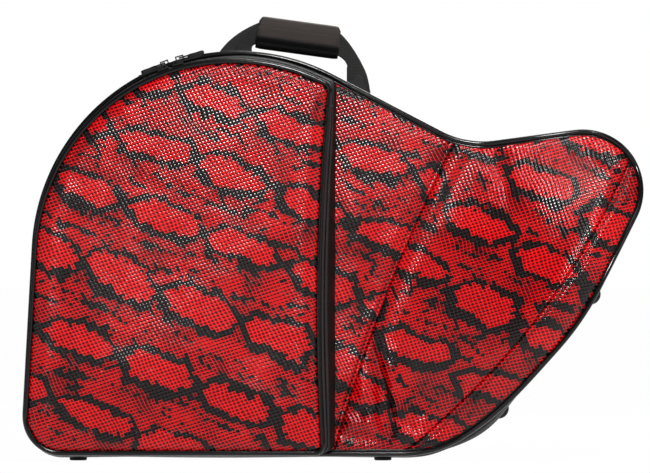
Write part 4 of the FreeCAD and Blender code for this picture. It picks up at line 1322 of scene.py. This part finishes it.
def handle_anchor(side, first_x, last_x):
    """A sewn-down patch that rises in its middle to a narrow sleeve round the strap."""
    node = "handle_anchor_" + side
    xs = np.linspace(first_x, last_x, 26)
    band = np.array([on_crown(x, 0.0)[1] for x in xs])
    sleeve = np.array([axis_place(x)[1] for x in xs]) - 4.6
    from_end = np.minimum(xs - first_x, last_x - xs)
    top, low = [], []
    for y in np.concatenate([-ANCHOR_YS[::-1], ANCHOR_YS]):
        rise = smooth_step(abs(y), 7.5, 4.0) * smooth_step(from_end, 0.0, 11.0)
        flat = band + 0.6 + 1.5 * smooth_step(15.0 - abs(y), 0.0, 1.4) * smooth_step(from_end, -0.4, 1.6)
        top.append(row_at(xs, y, flat + np.maximum(sleeve - flat, 0) * rise))
        low.append(row_at(xs, y, band - 0.4))
    grid = np.stack(top + low[::-1], 1)
    piece = grid_piece(node + "_patch", grid, False, True, caps=True)
    dress(piece, "tray", WEBBING_CLOTH, node, slot="webbing")
    left, right = first_x + 2.5, last_x - 2.5
    lines = []
    for way in (-1, 1):
        corners = ((left, 8.2), (right, 8.2), (right, 13.2), (left, 13.2))
        a, b, c, d = [np.array([x, way * y]) for x, y in corners]
        for start, end in ((a, b), (b, c), (c, d), (d, a), (a, c), (b, d)):
            line = start + (end - start) * np.linspace(0, 1, 12)[:, None]
            lines.append(np.array([[x, y, on_crown(x, 2.2)[1]] for x, y in line]))
    return stitches(node + "_stitches", lines, "tray")


# Of each strap: outer and inner x at its left foot, what its two edges are drawn towards, depth and twist.

STRAPS = {
    "rear": (-119.0, -101.0, (-106.0, 444.0), (-95.0, 442.0), 1.5, 0.6),
    "front": (-101.0, -84.0, (-99.0, 444.0), (-86.0, 432.0), -1.5, -1.6),
}
for strap, places in STRAPS.items():
    webbing_strap(strap, *places)
grip_wrap()
grip_flap()
handle_anchor("left", -119.0, -84.6)
handle_anchor("right", 14.7, 40.1)

# Soft tabs on the zip pulls.

TAB_START = 8.0
TAB_END = 26.5
TAB_TOP = 4.9
TAB_CLEAR = 1.1
TAB_HALF_WIDTH = 4.9
ZIP_RADIUS = CROWN_RADIUS - 0.5


def pull_tab(label, angle, way):
    """A moulded tab round a pull, which fills the gap down to the zipper."""
    turn = math.radians(angle)
    out = np.array([math.sin(turn), math.cos(turn)])
    along = way * np.array([math.cos(turn), -math.sin(turn)])
    origin = CROWN + out * ZIP_RADIUS
    rows = []
    for share in np.linspace(0, 1, 24):
        d = TAB_START + (TAB_END - TAB_START) * share
        end = math.sqrt(max(1 - (2 * share - 1) ** 6, 0.02))
        low = TAB_CLEAR - d * d / (2 * ZIP_RADIUS)
        middle, half = (TAB_TOP + low) / 2, (TAB_TOP - low) / 2 * end
        width = TAB_HALF_WIDTH * (0.78 + 0.22 * share) * end
        row = []
        for k in range(20):
            a = 2 * math.pi * k / 20
            c, n = math.cos(a), math.sin(a)
            across = width * math.copysign(abs(c) ** 0.6, c)
            rise = middle + half * math.copysign(abs(n) ** 0.75, n)
            rise -= 0.35 * bump(share, 0.5, 0.28) * max(n, 0)
            spot = origin + along * d + out * rise
            row.append([spot[0], PARTING_Y + across, spot[1]])
        rows.append(row)
    piece = grid_piece(label + "_tab", np.array(rows), False, True, caps=True)
    return dress(piece, label + "_pull", RUBBER, slot="foot_rubber")


pull_tab("main_slider_left", -20.8, -1)
pull_tab("main_slider_right", -16.4, 1)

# Inside: lining, pads and the foam pieces that hold the horn.

LINING_THICKNESS = 1.4
LINING_TURN = 9.0
SIM_FRAMES = 20


def lining(half, side):
    """Plush over the inside of one half: a wall that turns into a face, loose here and there."""
    points, outs, at = even_belt(CASE_PULLEYS, LINING_INSET - 0.2, 4.0)
    near = PARTING_Y + side * 0.6
    far = side * (half_depth(points) - LINING_INSET - LINING_TURN)
    rows = []
    for t in np.linspace(0, 1, 12):
        loose = 0.35 * np.sin(at / 29 + 4 * t) * math.sin(math.pi * t)
        rows.append(to_space(points - outs * (0.4 + loose)[:, None], near + (far - near) * t))
    for turn in np.linspace(15, 90, 6):
        angle = math.radians(turn)
        inset = LINING_TURN * (1 - math.cos(angle))
        rows.append(to_space(points - outs * (inset + 0.2), far + side * LINING_TURN * math.sin(angle)))
    wall = np.stack(rows, 0)
    edge = points - outs * (LINING_TURN + 0.2)
    inner, faces = filled(edge, 7.0)
    y = side * (half_depth(inner) - LINING_INSET + 0.15)
    vertices = np.concatenate([wall[:-1].reshape(-1, 3), to_space(inner, y)])
    count = len(points)
    shift = count * (len(rows) - 1)
    faces = [tuple(k + shift for k in face) for face in faces]
    faces += grid_faces(len(rows), count, False, True)
    piece = outward_normals(make_mesh(half + "_lining_plush", vertices, faces))
    if piece.data.polygons[len(faces) - 1].normal.dot(Vector((outs[0][0], 0, outs[0][1]))) > 0:
        piece.data.flip_normals()
    thick = piece.modifiers.new("cloth thickness", "SOLIDIFY")
    thick.thickness = LINING_THICKNESS * MM
    thick.offset = -1.0
    return dress(piece, half, PLUSH, half + "_lining", slot="plush")


def blow_up(piece, cap):
    """Cloth simulation with pressure from inside, with a cap on how far a point moves."""
    before = coordinates(piece.data)
    cloth = piece.modifiers.new("cloth", "CLOTH")
    cloth.settings.use_pressure = True
    cloth.settings.uniform_pressure_force = 4.0
    cloth.settings.effector_weights.gravity = 0.0
    cloth.settings.tension_stiffness = 25.0
    for number in range(1, SIM_FRAMES + 1):
        bpy.context.scene.frame_set(number)
    apply_modifiers(piece)
    move = coordinates(piece.data) - before
    length = np.linalg.norm(move, axis=1, keepdims=True)
    move *= np.minimum(1.0, cap * MM / np.maximum(length, 1e-9))
    piece.data.vertices.foreach_set("co", (before + move).ravel())
    bpy.context.scene.frame_set(1)


def puffed(node_name, body, voxel, cap, shrink, fill):
    """A node's form as a stuffed cover: remeshed, drawn in, blown up and smoothed."""
    label = node_name + "_stuffed"
    mesh = frame["nodes"][node_name].data.copy()
    mesh.name = label
    mesh.materials.clear()
    piece = add_object(label, mesh)
    bpy.context.view_layer.objects.active = piece
    remesh = piece.modifiers.new("remesh", "REMESH")
    remesh.mode = "VOXEL"
    remesh.voxel_size = voxel * MM
    apply_modifiers(piece)
    start = coordinates(piece.data)
    normals = np.zeros(len(start) * 3)
    piece.data.vertices.foreach_get("normal", normals)
    drawn_in = start - normals.reshape(-1, 3) * shrink * MM
    piece.data.vertices.foreach_set("co", drawn_in.ravel())
    smooth = piece.modifiers.new("smooth", "SMOOTH")
    smooth.iterations = 3
    apply_modifiers(piece)
    blow_up(piece, cap)
    piece.data.polygons.foreach_set("use_smooth", [True] * len(piece.data.polygons))
    finer = piece.modifiers.new("finer", "SUBSURF")
    finer.levels = 1
    finer.render_levels = 1
    dress(piece, body, FOAM, node_name, slot="foam")
    return piece


def coordinates(mesh):
    flat = np.zeros(len(mesh.vertices) * 3)
    mesh.vertices.foreach_get("co", flat)
    return flat.reshape(-1, 3)


def apply_modifiers(piece):
    graph = bpy.context.evaluated_depsgraph_get()
    mesh = bpy.data.meshes.new_from_object(piece.evaluated_get(graph))
    piece.modifiers.clear()
    old = piece.data
    piece.data = mesh
    mesh.name = old.name
    bpy.data.meshes.remove(old)


# Of each foam form: voxel size, cap on the blowing up, how far it is drawn in first, and fill.

PAD = (5.0, 4.0, 1.6, 0.6)
FORMS = {
    "coil_cradle": (5.0, 3.0, 1.6, 0.8),
    "throat_saddle": (4.0, 2.0, 1.4, 0.8),
    "bell_collar": (4.0, 1.5, 1.0, 0.8),
    "mouthpiece_block": (2.5, 1.0, 0.8, 0.8),
}
for half_name, half_side in HALVES:
    lining(half_name, half_side)
    puffed(half_name + "_pad", half_name, *PAD)
for form, measures in FORMS.items():
    puffed(form, "tray", *measures)

# Materials of the nodes that stay.

PLAIN = {"shell": BOARD, "feet": RUBBER, "bumpers": RUBBER, "slider": METAL}
for node_name, node in frame["nodes"].items():
    for word, material in PLAIN.items():
        if word in node_name:
            node.data.materials.clear()
            node.data.materials.append(material)

# Floor, lights and camera.

FLOOR_SIZE = 30.0
FLOOR_CLEAR = 0.985
WORLD_LIGHT = 0.17


def floor():
    """A pale floor, nearly see-through to the camera, so that its colour is the backdrop's white."""
    n = Nodes("floor_pale")
    plain = {"Base Color": (0.9, 0.9, 0.9, 1.0), "Roughness": 0.9, "Specular IOR Level": 0.1}
    for name, value in plain.items():
        n.put(n.shader.inputs[name], value)
    path = n.add("ShaderNodeLightPath").outputs
    glow = n.add("ShaderNodeEmission").outputs[0]
    clear = n.add("ShaderNodeBsdfTransparent").outputs[0]
    bounced = n.math("MAXIMUM", path["Is Glossy Ray"], path["Is Transmission Ray"])
    mirrored = n.value("ShaderNodeMixShader", (bounced, n.shader.outputs[0], glow))
    seen = n.math("MULTIPLY", path["Is Camera Ray"], FLOOR_CLEAR)
    share = n.math("MAXIMUM", seen, path["Is Shadow Ray"])
    n.put(n.output.inputs[0], n.value("ShaderNodeMixShader", (share, mirrored, clear)))
    mesh = bpy.data.meshes.new("floor")
    s = FLOOR_SIZE
    mesh.from_pydata([(-s, -s, 0), (s, -s, 0), (s, s, 0), (-s, s, 0)], [], [(0, 1, 2, 3)])
    mesh.materials.append(n.material)
    add_object("floor", mesh)


def world():
    scene = bpy.context.scene
    scene.world = bpy.data.worlds.new("studio")
    scene.world.use_nodes = True
    tree = scene.world.node_tree
    tree.nodes.clear()
    output = tree.nodes.new("ShaderNodeOutputWorld")
    light, white = [tree.nodes.new("ShaderNodeBackground") for _ in range(2)]
    for background, strength in ((light, WORLD_LIGHT), (white, 1.0)):
        background.inputs[0].default_value = (1.0, 1.0, 1.0, 1.0)
        background.inputs[1].default_value = strength
    blend = tree.nodes.new("ShaderNodeMixShader")
    path = tree.nodes.new("ShaderNodeLightPath")
    tree.links.new(path.outputs["Is Camera Ray"], blend.inputs[0])
    tree.links.new(light.outputs[0], blend.inputs[1])
    tree.links.new(white.outputs[0], blend.inputs[2])
    tree.links.new(blend.outputs[0], output.inputs[0])


def lamp(label, place, target, power, width, height):
    data = bpy.data.lights.new(label, "AREA")
    data.energy = power
    data.shape = "RECTANGLE"
    data.size = width
    data.size_y = height
    piece = add_object(label, data)
    piece.location = place
    piece.rotation_mode = "QUATERNION"
    piece.rotation_quaternion = (Vector(target) - Vector(place)).to_track_quat("-Z", "Y")


# Of each lamp: its place and what it points at, in metres, its power in watts, its width and height.

LAMPS = {
    "front": ((0.35, -2.5, 1.95), (-0.02, -0.1, 0.28), 74.0, 0.5, 0.5),
    "sheen": ((0.3, -1.6, 1.3), (0.02, -0.1, 0.38), 8.5, 0.45, 0.2),
    "top": ((0.3, -0.4, 2.3), (0.05, -0.05, 0.2), 12.0, 1.2, 0.8),
    "fill_right": ((2.2, -1.5, 1.4), (0.05, -0.1, 0.2), 9.0, 1.2, 1.2),
    "side_strip": ((-2.3, -1.7, 0.4), (-0.05, -0.12, 0.25), 3.2, 0.1, 1.0),
    "rear": ((0.6, 2.0, 1.6), (0.0, 0.0, 0.2), 26.0, 1.5, 1.5),
}
CAMERA_DISTANCE = 9.0
PIXEL = 1.035 * MM
IMAGE_WIDTH = 650
SENSOR = 36.0
FACE_Y = -0.09
VIEW_X = (325 - 332.75) * PIXEL
VIEW_Z = 4 * MM + (457 - 236.5) * PIXEL


def camera():
    data = bpy.data.cameras.new("camera")
    data.sensor_width = SENSOR
    data.lens = SENSOR * CAMERA_DISTANCE / (IMAGE_WIDTH * PIXEL)
    data.clip_end = 100.0
    piece = add_object("camera", data)
    piece.location = (VIEW_X, FACE_Y - CAMERA_DISTANCE, VIEW_Z)
    piece.rotation_euler = (math.pi / 2, 0, 0)
    bpy.context.scene.camera = piece


floor()
world()
for label, setting in LAMPS.items():
    lamp(label, *setting)
camera()
bpy.context.scene.view_settings.view_transform = "Standard"
